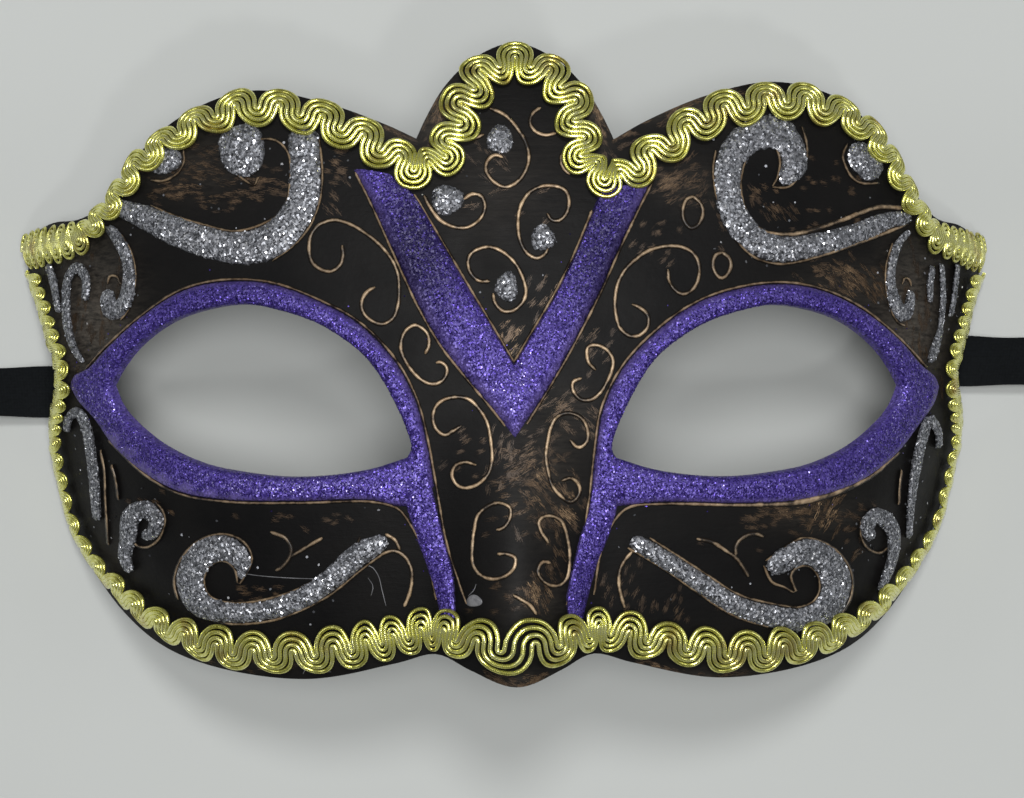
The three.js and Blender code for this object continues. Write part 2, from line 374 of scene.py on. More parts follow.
def addRamp(tree, source, *stops):
    ramp = addNode(tree, "ShaderNodeValToRGB", {"Fac": source})
    elements = ramp.color_ramp.elements
    while len(elements) < len(stops):
        elements.new(1.0)
    for element, (place, colour) in zip(elements, stops):
        element.position = place
        element.color = (*colour, 1.0)
    return ramp.outputs["Color"]


def addGreys(tree, source, *stops):
    return addRamp(tree, source, *((place, (grey, grey, grey)) for place, grey in stops))


def addMix(tree, share, first, second):
    mix = addNode(tree, "ShaderNodeMix", {0: share, 6: first, 7: second}, data_type="RGBA")
    return mix.outputs[2]


def addMath(tree, operation, first, second=0.0):
    return addNode(tree, "ShaderNodeMath", {0: first, 1: second}, operation=operation).outputs[0]


def addVector(tree, operation, sockets):
    return addNode(tree, "ShaderNodeVectorMath", sockets, operation=operation).outputs[0]


def addBump(tree, height, strength, distance, under=None):
    bump = addNode(tree, "ShaderNodeBump", {"Height": height, "Strength": strength, "Distance": distance})
    if under is not None:
        feed(tree, under, bump.inputs["Normal"])
    return bump.outputs["Normal"]


def addNoise(tree, vector, scale, detail=4.0, roughness=0.55):
    sockets = {"Vector": vector, "Scale": scale, "Detail": detail, "Roughness": roughness}
    return addNode(tree, "ShaderNodeTexNoise", sockets).outputs["Fac"]


def objectPlace(tree, stretch=(1, 1, 1), turn=0.0):
    place = addNode(tree, "ShaderNodeTexCoord").outputs["Object"]
    sockets = {"Vector": place, "Scale": stretch, "Rotation": (0, 0, turn)}
    return addNode(tree, "ShaderNodeMapping", sockets).outputs["Vector"]


def attributeValue(tree, name):
    return addNode(tree, "ShaderNodeAttribute", attribute_name=name).outputs["Fac"]


# Grains of glitter set in glue: each cell leans its own way
def grainNormal(tree, vector, scale, lean):
    cells = addNode(tree, "ShaderNodeTexVoronoi", {"Vector": vector, "Scale": scale}).outputs["Color"]
    away = addVector(tree, "SUBTRACT", {0: cells, 1: (0.5, 0.5, 0.5)})
    leaned = addVector(tree, "SCALE", {0: away, "Scale": lean})
    normal = addNode(tree, "ShaderNodeNewGeometry").outputs["Normal"]
    total = addVector(tree, "ADD", {0: leaned, 1: normal})
    return addVector(tree, "NORMALIZE", {0: total}), cells


def makeCamera():
    eye, ahead, right, up = viewAxes()
    bpy.ops.object.camera_add()
    camera = bpy.context.object
    camera.name = "photoCamera"
    turn = np.stack([right, up, -ahead], axis=1)
    camera.matrix_world = Matrix.Translation(eye * mm) @ Matrix(turn.tolist()).to_4x4()
    camera.data.lens = photo["lens"]
    camera.data.sensor_width = photo["sensor"]
    camera.data.clip_start = photo["clipStart"]
    bpy.context.scene.camera = camera


makeCamera()
print("camera placed")

# Ribbon ties: glued up the inner face at these x, then free onto the table
ribbon = {
    "levels": {"ribbon_left": -4.7, "ribbon_right": 1.1},
    "halfWidth": 4.75,
    "thickness": 0.45,
    "gap": 0.4,
    "columns": 13,
    "perSpan": 6,
    "glued": [72.6, 74.2, 75.8, 77.2, 78.6, 79.8],
    "free": [  # out, rise, lean in degrees
        (79.9, 9.6, -4),
        (81.2, 6.7, -4),
        (82.8, 4.3, -2),
        (84.6, 3.1, 2),
        (87.0, 2.6, 8),
        (90.0, 2.5, 18),
        (93.5, 2.5, 24),
        (98.0, 2.3, 22),
        (104.0, 1.5, 13),
        (112.0, 0.7, 4),
        (121.0, 0.3, 0),
    ],
    "weave": 3600.0,  # threads to the metre
    "smoothAngle": 50,
}


def ribbonCloth():
    material, tree = newMaterial("blackRibbonWeave")
    place = objectPlace(tree)
    bands = {"Vector": place, "Scale": ribbon["weave"] * math.pi / 10, "Distortion": 0.4}
    warp, weft = (addNode(tree, "ShaderNodeTexWave", bands, bands_direction=way) for way in "YX")
    threads = addMath(tree, "MULTIPLY", warp.outputs["Fac"], weft.outputs["Fac"])
    shade = addMath(tree, "ADD", threads, addNoise(tree, place, 1800))
    return finishMaterial(material, {
        "Base Color": addRamp(tree, shade, (0.3, (0.0014, 0.0018, 0.0022)),
                              (1.0, (0.006, 0.0073, 0.0085))),
        "Normal": addBump(tree, threads, 0.4, 0.0001),
        "Roughness": 0.72,
        "Specular IOR Level": 0.07,
        "Sheen Weight": 0.02,
    })


def makeRibbon(node, side, material):
    level = ribbon["levels"][node]
    back = -face["wall"] - ribbon["gap"] - ribbon["thickness"] / 2
    columns = []
    for share in np.linspace(-1, 1, ribbon["columns"]):
        reach = share * ribbon["halfWidth"]
        glued = np.array([(side * x, level + reach) for x in ribbon["glued"]])
        rows = list(onFace(glued, back))
        for out, rise, lean in ribbon["free"]:
            turn = math.radians(lean)
            middle = rise + ribbon["thickness"] / 2
            rows.append((side * out, level + reach * math.cos(turn), middle - reach * math.sin(turn)))
        columns.append(splineLine(rows, ribbon["perSpan"]))
    grid = np.stack(columns, axis=1)
    rows, across = grid.shape[:2]
    tie = addPrimitive("tie_" + node, bpy.ops.mesh.primitive_grid_add, x_subdivisions=across - 1,
                       y_subdivisions=rows - 1, size=1)
    setPlaces(tie, grid.reshape(-1, 3) * mm)
    applyModifier(tie, "SOLIDIFY", thickness=ribbon["thickness"] * mm, offset=0.0)
    cleanUp(tie, ribbon["smoothAngle"])
    finishPiece(tie, material, node)


ribbonMaterial = ribbonCloth()
makeRibbon("ribbon_left", -1, ribbonMaterial)
makeRibbon("ribbon_right", 1, ribbonMaterial)

# Shell outline, one half, in two runs from the middle that meet in the crest notch: x, y, and how far the
# right one lies above that level and the left one below it
rimRuns = {
    "crest": [(0, 54.6), (6.6, 52), (11.7, 47), (14.9, 41.5), (16.6, 37.7)],
    "side": [
        (0, -53.6), (7.6, -51.2), (13.2, -48.9), (20, -50.6), (36, -53.8), (59, -51), (69, -45.6),
        (77.4, -36.5), (81.3, -29), (82.8, -21), (83.2, -11.5), (80.4, -2), (84.6, 10), (89.8, 19.6),
        (88.2, 23.6), (83, 25.8), (76.6, 26.2, 0.3), (71.8, 29.2, 1.3), (65.3, 37.7, 1.7),
        (56.8, 44.5, 1.7), (45, 47.6, 1.0), (33, 45.1, 0.7), (22, 40.6, 0.3), (16.6, 37.7),
    ],
}
# Right eye opening: the lid from the outer to the inner corner, then the lower edge back
lidRun = [(69.8, -3.8), (67.8, -0.6), (63.6, 3.9), (56.3, 8.2), (45.2, 10.3), (38.3, 9.1), (31.2, 6.4),
          (24.6, 1.7), (21.3, -2.5), (17.3, -10.8), (16.4, -14.6), (17.2, -16.1)]
lowerRun = [(17.2, -16.1), (24.1, -18.2), (36, -19.5), (46.4, -18.7), (52.9, -17.4), (60.4, -14.2),
            (66.1, -9.9), (68.3, -7.3), (69.8, -3.8)]
eyeDrift = np.array((-0.75, 0.0))  # both openings lie this far to one side of the middle
mirror = np.array((-1.0, 1.0))

shell = {
    "columns": 170,
    "rows": 104,
    "halfWidth": 92.0,
    "halfHeight": 58.0,
    "crowding": 1.1,     # crowds the columns towards the steep sides, radians
    "rimSpacing": 1.1,
    "slab": 2.0,
    "smoothAngle": 40,
    "mostHazeAndSheen": 2.2,
    # Places where the black is lightened towards bronze, partly rubbed bronze and partly painted sheen in
    # place of reflections (the strong temple patches and the broad one mid-brow): pixel x, y, reach x,
    # reach y, strength
    "bronzeHazeAndSheen": [
        (92, 320, 38, 66, 2.4), (912, 320, 32, 66, 2.2), (195, 165, 50, 34, 0.5),
        (845, 285, 44, 22, 0.6), (815, 515, 50, 20, 0.6), (545, 480, 30, 60, 0.7),
        (535, 600, 30, 20, 0.7), (434, 108, 18, 36, 1.0), (600, 112, 16, 36, 1.0),
        (680, 104, 60, 16, 1.1), (540, 684, 44, 10, 1.0), (690, 185, 30, 24, 0.5),
        (400, 128, 24, 12, 0.8), (575, 410, 20, 24, 0.5), (250, 660, 80, 10, 0.7),
        (740, 676, 90, 8, 0.7), (500, 180, 60, 60, 0.35), (110, 560, 20, 40, 0.4),
        (905, 560, 20, 40, 0.4), (62, 250, 30, 20, 0.5),
    ],
}


def blackPlastic():
    material, tree = newMaterial("brushedBlackPlastic")
    place = objectPlace(tree)
    dust = addNoise(tree, place, 60, 5, 0.6)
    black = addRamp(tree, dust, (0.3, (0.0028, 0.0027, 0.0029)), (0.75, (0.007, 0.0064, 0.006)))
    level = addNoise(tree, objectPlace(tree, (1, 6, 2), 0.1), 240, 6, 0.7)
    slanted = addNoise(tree, objectPlace(tree, (1, 7, 2), -0.7), 200, 6, 0.7)
    streaks = addMath(tree, "MAXIMUM", level, slanted)
    worn = addGreys(tree, streaks, (0.42, 0.12), (0.8, 1))
    # rubbed bronze and painted sheen lighten the black here
    hazeAndSheenShare = addMath(tree, "MULTIPLY", addMath(tree, "MULTIPLY", worn, attributeValue(tree, "bronzeHazeAndSheen")), 0.55)
    hazeAndSheenShare = addMath(tree, "MINIMUM", hazeAndSheenShare, 1.0)
    skin = addBump(tree, addNoise(tree, place, 900), 0.12, 0.0004)
    return finishMaterial(material, {
        "Base Color": addMix(tree, hazeAndSheenShare, black, (0.098, 0.084, 0.068)),
        "Roughness": addGreys(tree, addNoise(tree, place, 140), (0.3, 0.5), (0.75, 0.64)),
        "Normal": addBump(tree, streaks, 0.15, 0.0005, skin),
        "Specular IOR Level": 0.1,
    })


def innerPlastic():
    material, tree = newMaterial("plainInnerPlastic")
    place = objectPlace(tree)
    dust = addNoise(tree, place, 70, 5)
    return finishMaterial(material, {
        "Base Color": addRamp(tree, dust, (0.3, (0.006, 0.006, 0.0065)), (0.8, (0.013, 0.0128, 0.013))),
        "Roughness": addGreys(tree, addNoise(tree, place, 180), (0.3, 0.3), (0.8, 0.45)),
        "Normal": addBump(tree, addNoise(tree, place, 420), 0.2, 0.0006),
    })


# The whole width from the knots of one half: x, y, skew, then any shares
def bothHalves(half):
    right = np.array([(*knot, 0.0) if len(knot) == 2 else knot for knot in half], float)
    left = right * np.array([-1.0, 1.0, -1.0] + [1.0] * (right.shape[1] - 3))
    whole = np.vstack([left[:0:-1], right])
    whole[:, 1] += whole[:, 2]
    return np.delete(whole, 2, axis=1)


def outlineLoops():
    spacing = shell["rimSpacing"]
    crest = evenLine(bothHalves(rimRuns["crest"]), spacing)
    side = evenLine(bothHalves(rimRuns["side"]), spacing)[::-1]
    eye = np.vstack([evenLine(run, spacing)[:-1] for run in (lidRun, lowerRun)])
    return [np.vstack([crest[:-1], side[:-1]]), eye + eyeDrift, eye * mirror + eyeDrift]


def insideLoop(plan, loop):
    ends = np.roll(loop, -1, axis=0)
    x = plan[:, :1]
    y = plan[:, 1:]
    crossed = (loop[:, 1] > y) != (ends[:, 1] > y)
    slope = (ends[:, 0] - loop[:, 0]) / (ends[:, 1] - loop[:, 1] + 1e-12)
    return (crossed & (x < loop[:, 0] + (y - loop[:, 1]) * slope)).sum(axis=1) % 2 == 1


# Which plan points have plastic under them
def onPlastic(plan):
    rim, eye, farEye = outlineLoops()
    return insideLoop(plan, rim) & ~insideLoop(plan, eye) & ~insideLoop(plan, farEye)


def addCutter():
    curve = bpy.data.curves.new("outline", "CURVE")
    curve.dimensions = "2D"
    curve.fill_mode = "BOTH"
    curve.extrude = 2 * shell["slab"] * mm
    for loop in outlineLoops():
        spline = curve.splines.new("POLY")
        spline.points.add(len(loop) - 1)
        flat = np.zeros((len(loop), 4))
        flat[:, :2] = loop * mm
        spline.points.foreach_set("co", flat.ravel())
        spline.use_cyclic_u = True
    cutter = bpy.data.objects.new("outline", curve)
    bpy.context.collection.objects.link(cutter)
    selectOnly(cutter)
    bpy.ops.object.convert(target="MESH")
    cutter = bpy.context.object
    editAll(cutter)
    bpy.ops.mesh.remove_doubles(threshold=1e-6)
    leaveEdit()
    cleanUp(cutter)
    return cutter


def makeShell():
    cutter = addCutter()
    sheet = addPrimitive("maskShell", bpy.ops.mesh.primitive_grid_add, x_subdivisions=shell["columns"],
                         y_subdivisions=shell["rows"], size=2)
    crowding = shell["crowding"]
    places = readPlaces(sheet)
    places[:, 0] = shell["halfWidth"] * np.sin(crowding * places[:, 0]) / math.sin(crowding)
    places[:, 1] *= shell["halfHeight"]
    places[:, 2] = -shell["slab"] / 2
    setPlaces(sheet, places * mm)
    editAll(sheet)
    bpy.ops.mesh.extrude_region_move(TRANSFORM_OT_translate={"value": (0, 0, shell["slab"] * mm)})
    leaveEdit()
    cleanUp(sheet)
    applyModifier(sheet, "BOOLEAN", operation="INTERSECT", solver="EXACT", object=cutter)
    bpy.data.objects.remove(cutter)
    # keep the top of the slab, then raise it to the form of the face
    editSelected(sheet, "FACE", np.array([polygon.normal.z < 0.5 for polygon in sheet.data.polygons]))
    bpy.ops.mesh.delete(type="FACE")
    leaveEdit()
    places = readPlaces(sheet) / mm
    places[:, 2] = faceHeight(places[:, 0], places[:, 1])
    setPlaces(sheet, places * mm)
    sheet.data.materials.append(blackPlastic())
    sheet.data.materials.append(innerPlastic())
    applyModifier(sheet, "SOLIDIFY", thickness=face["wall"] * mm, offset=-1.0, use_even_offset=True,
                  material_offset=1)
    editAll(sheet)
    bpy.ops.mesh.bisect(plane_co=(0, 0, 0), plane_no=(0, 0, 1), clear_inner=True, use_fill=True)
    leaveEdit()
    setPlaces(sheet, overTable(readPlaces(sheet)))
    bpy.ops.object.shade_smooth_by_angle(angle=math.radians(shell["smoothAngle"]))
    bronzeHazeAndSheen = patchesAt(readPlaces(sheet) / mm, shell["bronzeHazeAndSheen"])
    setAttribute(sheet, "bronzeHazeAndSheen", np.minimum(bronzeHazeAndSheen, shell["mostHazeAndSheen"]))
    handIn(sheet, "shell")


makeShell()

# Purple glitter borders, V and nose legs
purple = {
    "eyeSteps": 90,
    # Border section, from under the opening's edge over the top and back inside the wall:
    # share of the way out, millimetres further out, lift, glitter
    "eyeSection": [
        (0.0, -0.30, -1.62, 0.3), (0.0, -0.38, -0.8, 0.6), (0.0, -0.34, 0.35, 1.0),
        (0.0, 0.05, 0.95, 1.0), (0.2, 0.0, 1.15, 1.0), (0.45, 0.0, 1.22, 1.0), (0.74, 0.0, 1.15, 1.0),
        (0.9, 0.0, 0.8, 0.3), (1.0, 0.0, 0.05, 0.0), (1.0, 0.0, -0.5, 0.0), (0.4, 0.0, -0.6, 0.0),
        (0.0, 0.5, -1.2, 0.0),
    ],
    # Outer edges of the borders, pixels: upper from the outer tip to the inner corner, lower back again
    "leftUpper": [
        (71, 386), (74, 376), (90, 368), (107, 350), (140, 319), (180, 292), (220, 282), (270, 284),
        (320, 302), (360, 325), (395, 362), (415, 400), (426, 440), (434, 486),
    ],
    "leftLower": [
        (434, 486), (418, 504), (398, 506), (372, 500), (300, 501), (230, 500), (180, 492), (145, 473),
        (115, 446), (95, 417), (79, 400), (71, 386),
    ],
    "rightUpper": [
        (938, 386), (934, 376), (921, 366), (899, 341), (860, 309), (820, 290), (780, 284), (730, 291),
        (690, 307), (650, 338), (622, 370), (603, 410), (597, 445), (592, 486),
    ],
    "rightLower": [
        (592, 486), (606, 505), (628, 505), (660, 502), (750, 503), (800, 500), (840, 490), (870, 475),
        (897, 452), (918, 424), (934, 401), (938, 386),
    ],
    # V: its inner and outer edges, pixels, down the left arm and up the right one
    "veeInner": [
        [(392, 176), (416, 197), (441, 240), (470, 290), (500, 340), (514, 364)],
        [(514, 364), (528, 340), (553, 298), (573, 258), (592, 212), (600, 191)],
    ],
    "veeOuter": [
        [(354, 170), (370, 200), (397, 260), (418, 305), (440, 343), (465, 375), (490, 405), (515, 438)],
        [(515, 438), (530, 415), (550, 385), (572, 345), (600, 290), (620, 245), (640, 203), (649, 184)],
    ],
    "veeSteps": 46,
    # V section: share of the way from the inner to the outer edge, lift, glitter
    "veeSection": [
        (0.0, -0.5, 0.0), (0.0, 0.1, 0.2), (0.05, 1.0, 1.0), (0.25, 1.2, 1.0), (0.5, 1.25, 1.0),
        (0.76, 1.2, 1.0), (0.88, 0.85, 0.3), (1.0, 0.05, 0.0), (1.0, -0.5, 0.0),
    ],
    # Legs beside the nose, pixels: x, y, width
    "legs": [
        [(416, 486, 30), (423, 512, 29), (431, 540, 26), (438, 562, 24), (443, 582, 22), (446, 600, 18),
         (448, 618, 15)],
        [(606, 486, 27), (601, 516, 28), (592, 543, 26), (585, 566, 23), (580, 585, 22), (577, 600, 21),
         (576, 618, 15)],
    ],
    "smoothAngle": 60,
    # Leg section: share of the half width, lift, glitter
    "legSection": [
        (-0.97, -0.5, 0), (-1.0, 0.1, 0), (-0.88, 0.85, 0.8), (-0.5, 1.12, 1), (0.0, 1.2, 1),
        (0.5, 1.12, 1), (0.88, 0.85, 0.8), (1.0, 0.1, 0), (0.97, -0.5, 0),
    ],
    "legSpacing": 4.0,
    "eyeTop": (2, 7),  # rows of a section that the flakes lie on, the legs' too
    "veeTop": (2, 6),
    "flakeRadius": (0.11, 0.19),
    "flakeCorners": 4,
    "flakeProud": 0.03,
    "flakeDepth": 0.9,
    "flakesPerSquare": 10.0,
    "flakeLean": 0.3,
    "strays": 420,
    "strayReach": 2.0,
    "strayLift": 0.02,
    # Smooth bevels that the glitter leaves bare, pixels: x, y, reach
    "bare": [
        (112, 440, 9), (126, 455, 10), (143, 470, 10), (162, 481, 10), (185, 490, 9), (210, 495, 8),
        (235, 498, 7), (404, 270, 7), (414, 293, 7), (426, 315, 7), (438, 336, 7), (450, 352, 7),
        (463, 368, 7),
    ],
    "bareFade": (0.6, 0.5),  # glitter starts at this share of the reach and is full so much further out
    # Painted light and painted shade: darker and brighter stretches of the purple where light falls less
    # or more, pixels: x, y, reach x, reach y, brightness
    "paintedLightAndShade": [
        (415, 250, 50, 85, -0.9), (605, 250, 50, 85, -0.75), (512, 398, 28, 30, 0.15),
        (300, 488, 110, 16, 0.22), (110, 400, 40, 40, 0.15), (900, 400, 40, 50, 0.1),
        (240, 292, 110, 20, -0.2), (770, 292, 110, 20, -0.15),
    ],
}


def purpleGlue():
    material, tree = newMaterial("purpleGlitterGlue")
    place = objectPlace(tree)
    normal, cells = grainNormal(tree, place, 3600, 0.8)
    grains = addRamp(tree, cells, (0.2, (0.02, 0.011, 0.1)), (0.5, (0.048, 0.028, 0.21)),
                     (0.9, (0.13, 0.095, 0.4)))
    smooth = addNoise(tree, place, 300)
    # plain: the unglittered paint on the edges and bare bevels, made lighter as a painted highlight along
    # them
    plain = addRamp(tree, smooth, (0.3, (0.075, 0.052, 0.23)), (0.8, (0.17, 0.13, 0.4)))
    mixed = addMix(tree, attributeValue(tree, "glitter"), plain, grains)
    return finishMaterial(material, {
        # painted shade: the glue's colour is darkened towards deep purple where the patches are darker
        "Base Color": addMix(tree, attributeValue(tree, "paintedShade"), mixed, (0.008, 0.005, 0.034)),
        "Normal": normal,
        "Metallic": 0.35,
        "Roughness": 0.42,
    })


def purpleFoil():
    material, tree = newMaterial("purpleFlakes")
    colour = addRamp(tree, attributeValue(tree, "tone"), (0.0, (0.016, 0.009, 0.08)),
                     (0.6, (0.07, 0.043, 0.29)), (0.95, (0.15, 0.112, 0.45)), (1.0, (0.42, 0.37, 0.75)))
    return finishMaterial(material, {"Base Color": colour, "Metallic": 0.75, "Roughness": 0.36})


# How much glitter lies at places on the borders, from none to all
def glitterAt(places):
    px, py = toPhoto(places)
    share = np.ones(len(px))
    start, fade = purple["bareFade"]
    for x, y, reach in purple["bare"]:
        share *= np.clip((np.hypot(px - x, py - y) / reach - start) / fade, 0, 1)
    return share


# Sets the glitter share and the painted shade of the glue
def setGlitterAndShade(piece, places, glitter):
    setAttribute(piece, "glitter", glitter * glitterAt(places))
    setAttribute(piece, "paintedShade", np.clip(-patchesAt(places, purple["paintedLightAndShade"]), 0, 1))


# Rings across a strip between two plan edges, from rows of share, push, lift
def stripRings(inner, outer, section):
    out = unit(outer - inner)
    ring = [onFace(inner + (outer - inner) * share + out * push, lift) for share, push, lift in section]
    return np.stack(ring, axis=1)


def makeEyeBorder(name, upper, lower, side, material):
    shares = np.linspace(0, 1, purple["eyeSteps"] + 1)[:-1]
    inner = np.vstack([atShares(splineLine(run), shares) for run in (lidRun, lowerRun)])
    outer = np.vstack([fromPhoto(atShares(splineLine(run), shares)) for run in (upper, lower)])
    section = np.array(purple["eyeSection"])
    rings = stripRings(inner * (side, 1.0) + eyeDrift, outer, section[:, :3])
    count, sides = rings.shape[:2]
    border = addPrimitive(name, bpy.ops.mesh.primitive_torus_add, major_segments=count,
                          minor_segments=sides, major_radius=1, minor_radius=0.3)
    places = rings.reshape(-1, 3)
    setPlaces(border, places * mm)
    setGlitterAndShade(border, places, np.tile(section[:, 3], count))
    cleanUp(border, purple["smoothAngle"])
    finishPiece(border, material)
    first, last = purple["eyeTop"]
    return np.concatenate([rings, rings[:1]])[:, first:last]


def makeVee(material):
    shares = np.linspace(0, 1, purple["veeSteps"] + 1)
    edges = []
    for arms in (purple["veeInner"], purple["veeOuter"]):
        runs = [fromPhoto(atShares(splineLine(arm), shares)) for arm in arms]
        edges.append(np.vstack([runs[0], runs[1][1:]]))
    section = np.array(purple["veeSection"])
    rings = stripRings(*edges, [(share, 0.0, lift) for share, lift, glitter in section])
    vee, ring, turn = addRod("browVee", rings)
    setGlitterAndShade(vee, rings[ring, turn], section[turn, 2])
    cleanUp(vee, purple["smoothAngle"])
    finishPiece(vee, material)
    first, last = purple["veeTop"]
    return rings[:, first:last]


# Round ends of a stroke, as shares of its half width and of its rise
strokeEnds = {
    "start": 0.15,
    "least": 0.02,
    "tipRise": 0.35,
}


# Rings over a stroke of the photo: rows of x, y and width in pixels, and a section of shares and lifts
def strokeRings(stroke, shares, lifts, spacing, roundEnds=True, waver=0.0):
    line = evenLine(stroke, spacing)
    sideways = leftOf(unit(np.gradient(line[:, :2], axis=0)))
    width = line[:, 2] * (1 + waver * dice.standard_normal(len(line)))
    swell = np.ones(len(line))
    if roundEnds:
        run = runLength(line[:, :2])
        for gone, end in ((run, 0), (run[-1] - run, -1)):
            reach = max(width[end] / 2, 1.0)
            short = np.clip(1 - (gone + strokeEnds["start"] * reach) / reach, 0, 1)
            swell *= np.sqrt(np.clip(1 - short ** 2, strokeEnds["least"], 1))
    tip = strokeEnds["tipRise"]
    ring = []
    for share, lift in zip(shares, lifts):
        pixels = line[:, :2] + sideways * (width * swell / 2 * share)[:, None]
        raised = lift * np.where(lift > 0, tip + (1 - tip) * swell, 1.0)
        ring.append(onFace(fromPhoto(pixels, max(lift, 0.0)), raised))
    return np.stack(ring, axis=1)


def makeLegs(material):
    shares, lifts, glitter = np.array(purple["legSection"]).T
    first, last = purple["eyeTop"]
    parts = []
    tops = []
    for stroke in purple["legs"]:
        rings = strokeRings(stroke, shares, lifts, purple["legSpacing"], roundEnds=False)
        leg, ring, turn = addRod("noseLegs", rings)
        setAttribute(leg, "glitter", glitter[turn])
        parts.append(leg)
        tops.append(rings[:, first:last])
    legs = joinPieces("noseLegs", parts)
    cleanUp(legs, purple["smoothAngle"])
    finishPiece(legs, material)
    return tops


# Random spots on sheets of points, so many to the square millimetre, with the way each faces
def scatter(sheets, perSquare):
    corners = []
    for sheet in sheets:
        quad = np.stack([sheet[:-1, :-1], sheet[1:, :-1], sheet[1:, 1:], sheet[:-1, 1:]], axis=2)
        corners.append(quad.reshape(-1, 4, 3))
    corners = np.concatenate(corners)
    facing = np.cross(corners[:, 2] - corners[:, 0], corners[:, 3] - corners[:, 1]) / 2
    area = np.linalg.norm(facing, axis=1)
    count = int(area.sum() * perSquare)
    pick = dice.choice(len(area), count, p=area / area.sum())
    u = dice.random((count, 1))
    v = dice.random((count, 1))
    a, b, c, d = (corners[pick, i] for i in range(4))
    spots = a * (1 - u) * (1 - v) + b * u * (1 - v) + c * u * v + d * (1 - u) * v
    facing = facing[pick] / np.maximum(area[pick], 1e-9)[:, None]
    outward = faceNormal(spots[:, 0], spots[:, 1])
    facing *= np.sign((facing * outward).sum(axis=1) + 1e-9)[:, None]
    return spots, facing


def addMesh(name, places, faces):
    mesh = bpy.data.meshes.new(name)
    mesh.from_pydata((overTable(places).reshape(-1, 3) * mm).tolist(), [], faces)
    mesh.update()
    piece = bpy.data.objects.new(name, mesh)
    bpy.context.collection.objects.link(piece)
    return piece


# Small plates as one mesh: each is flat between its corners and comes to a point behind them
def addPlates(name, corners, points, tone):
    count, sides = corners.shape[:2]
    start = np.arange(count)[:, None] * (sides + 1)
    faces = (start + np.arange(sides)).tolist()
    for side in range(sides):
        faces += (start + np.array([(side + 1) % sides, side, sides])).tolist()
    plates = addMesh(name, np.concatenate([corners, points[:, None]], axis=1), faces)
    setAttribute(plates, "tone", np.repeat(np.clip(tone, 0, 1), sides + 1))
    return plates


# Flakes of glitter over sheets of glue, each leaning its own way, and some that fell beside them
def makeFlakes(name, tops, glitter, material):
    spots, facing = scatter(tops, glitter["flakesPerSquare"])
    if "bare" in glitter:
        kept = dice.random(len(spots)) < glitterAt(spots)
        spots = spots[kept]
        facing = facing[kept]
    near = spots[dice.choice(len(spots), glitter["strays"]), :2]
    near = near + glitter["strayReach"] * dice.standard_normal(near.shape)
    near = near[onPlastic(near)]
    spots = np.vstack([spots, onFace(near, glitter["strayLift"])])
    facing = np.vstack([facing, faceNormal(*near.T)])
    up = unit(facing + glitter["flakeLean"] * dice.standard_normal(spots.shape))
    first = unit(np.cross(up, dice.standard_normal(spots.shape)))
    second = np.cross(up, first)
    size = dice.uniform(*glitter["flakeRadius"], len(spots))[:, None]
    middle = spots + facing * glitter["flakeProud"]
    turns = np.arange(glitter["flakeCorners"]) / glitter["flakeCorners"] * 2 * math.pi
    rim = [middle + size * (math.cos(turn) * first + math.sin(turn) * second) for turn in turns]
    # tone: random per flake, plus painted light and painted shade from the patches
    tone = dice.random(len(spots)) + patchesAt(spots, glitter["paintedLightAndShade"])
    flakes = addPlates(name, np.stack(rim, axis=1), middle - up * size * glitter["flakeDepth"], tone)
    finishPiece(flakes, material)


def makePurple():
    material = purpleGlue()
    tops = [
        makeEyeBorder("leftEyeBorder", purple["leftUpper"], purple["leftLower"], -1, material),
        makeEyeBorder("rightEyeBorder", purple["rightUpper"], purple["rightLower"], 1, material),
        makeVee(material),
        *makeLegs(material),
    ]
    makeFlakes("purpleFlakes", tops, purple, purpleFoil())


makePurple()

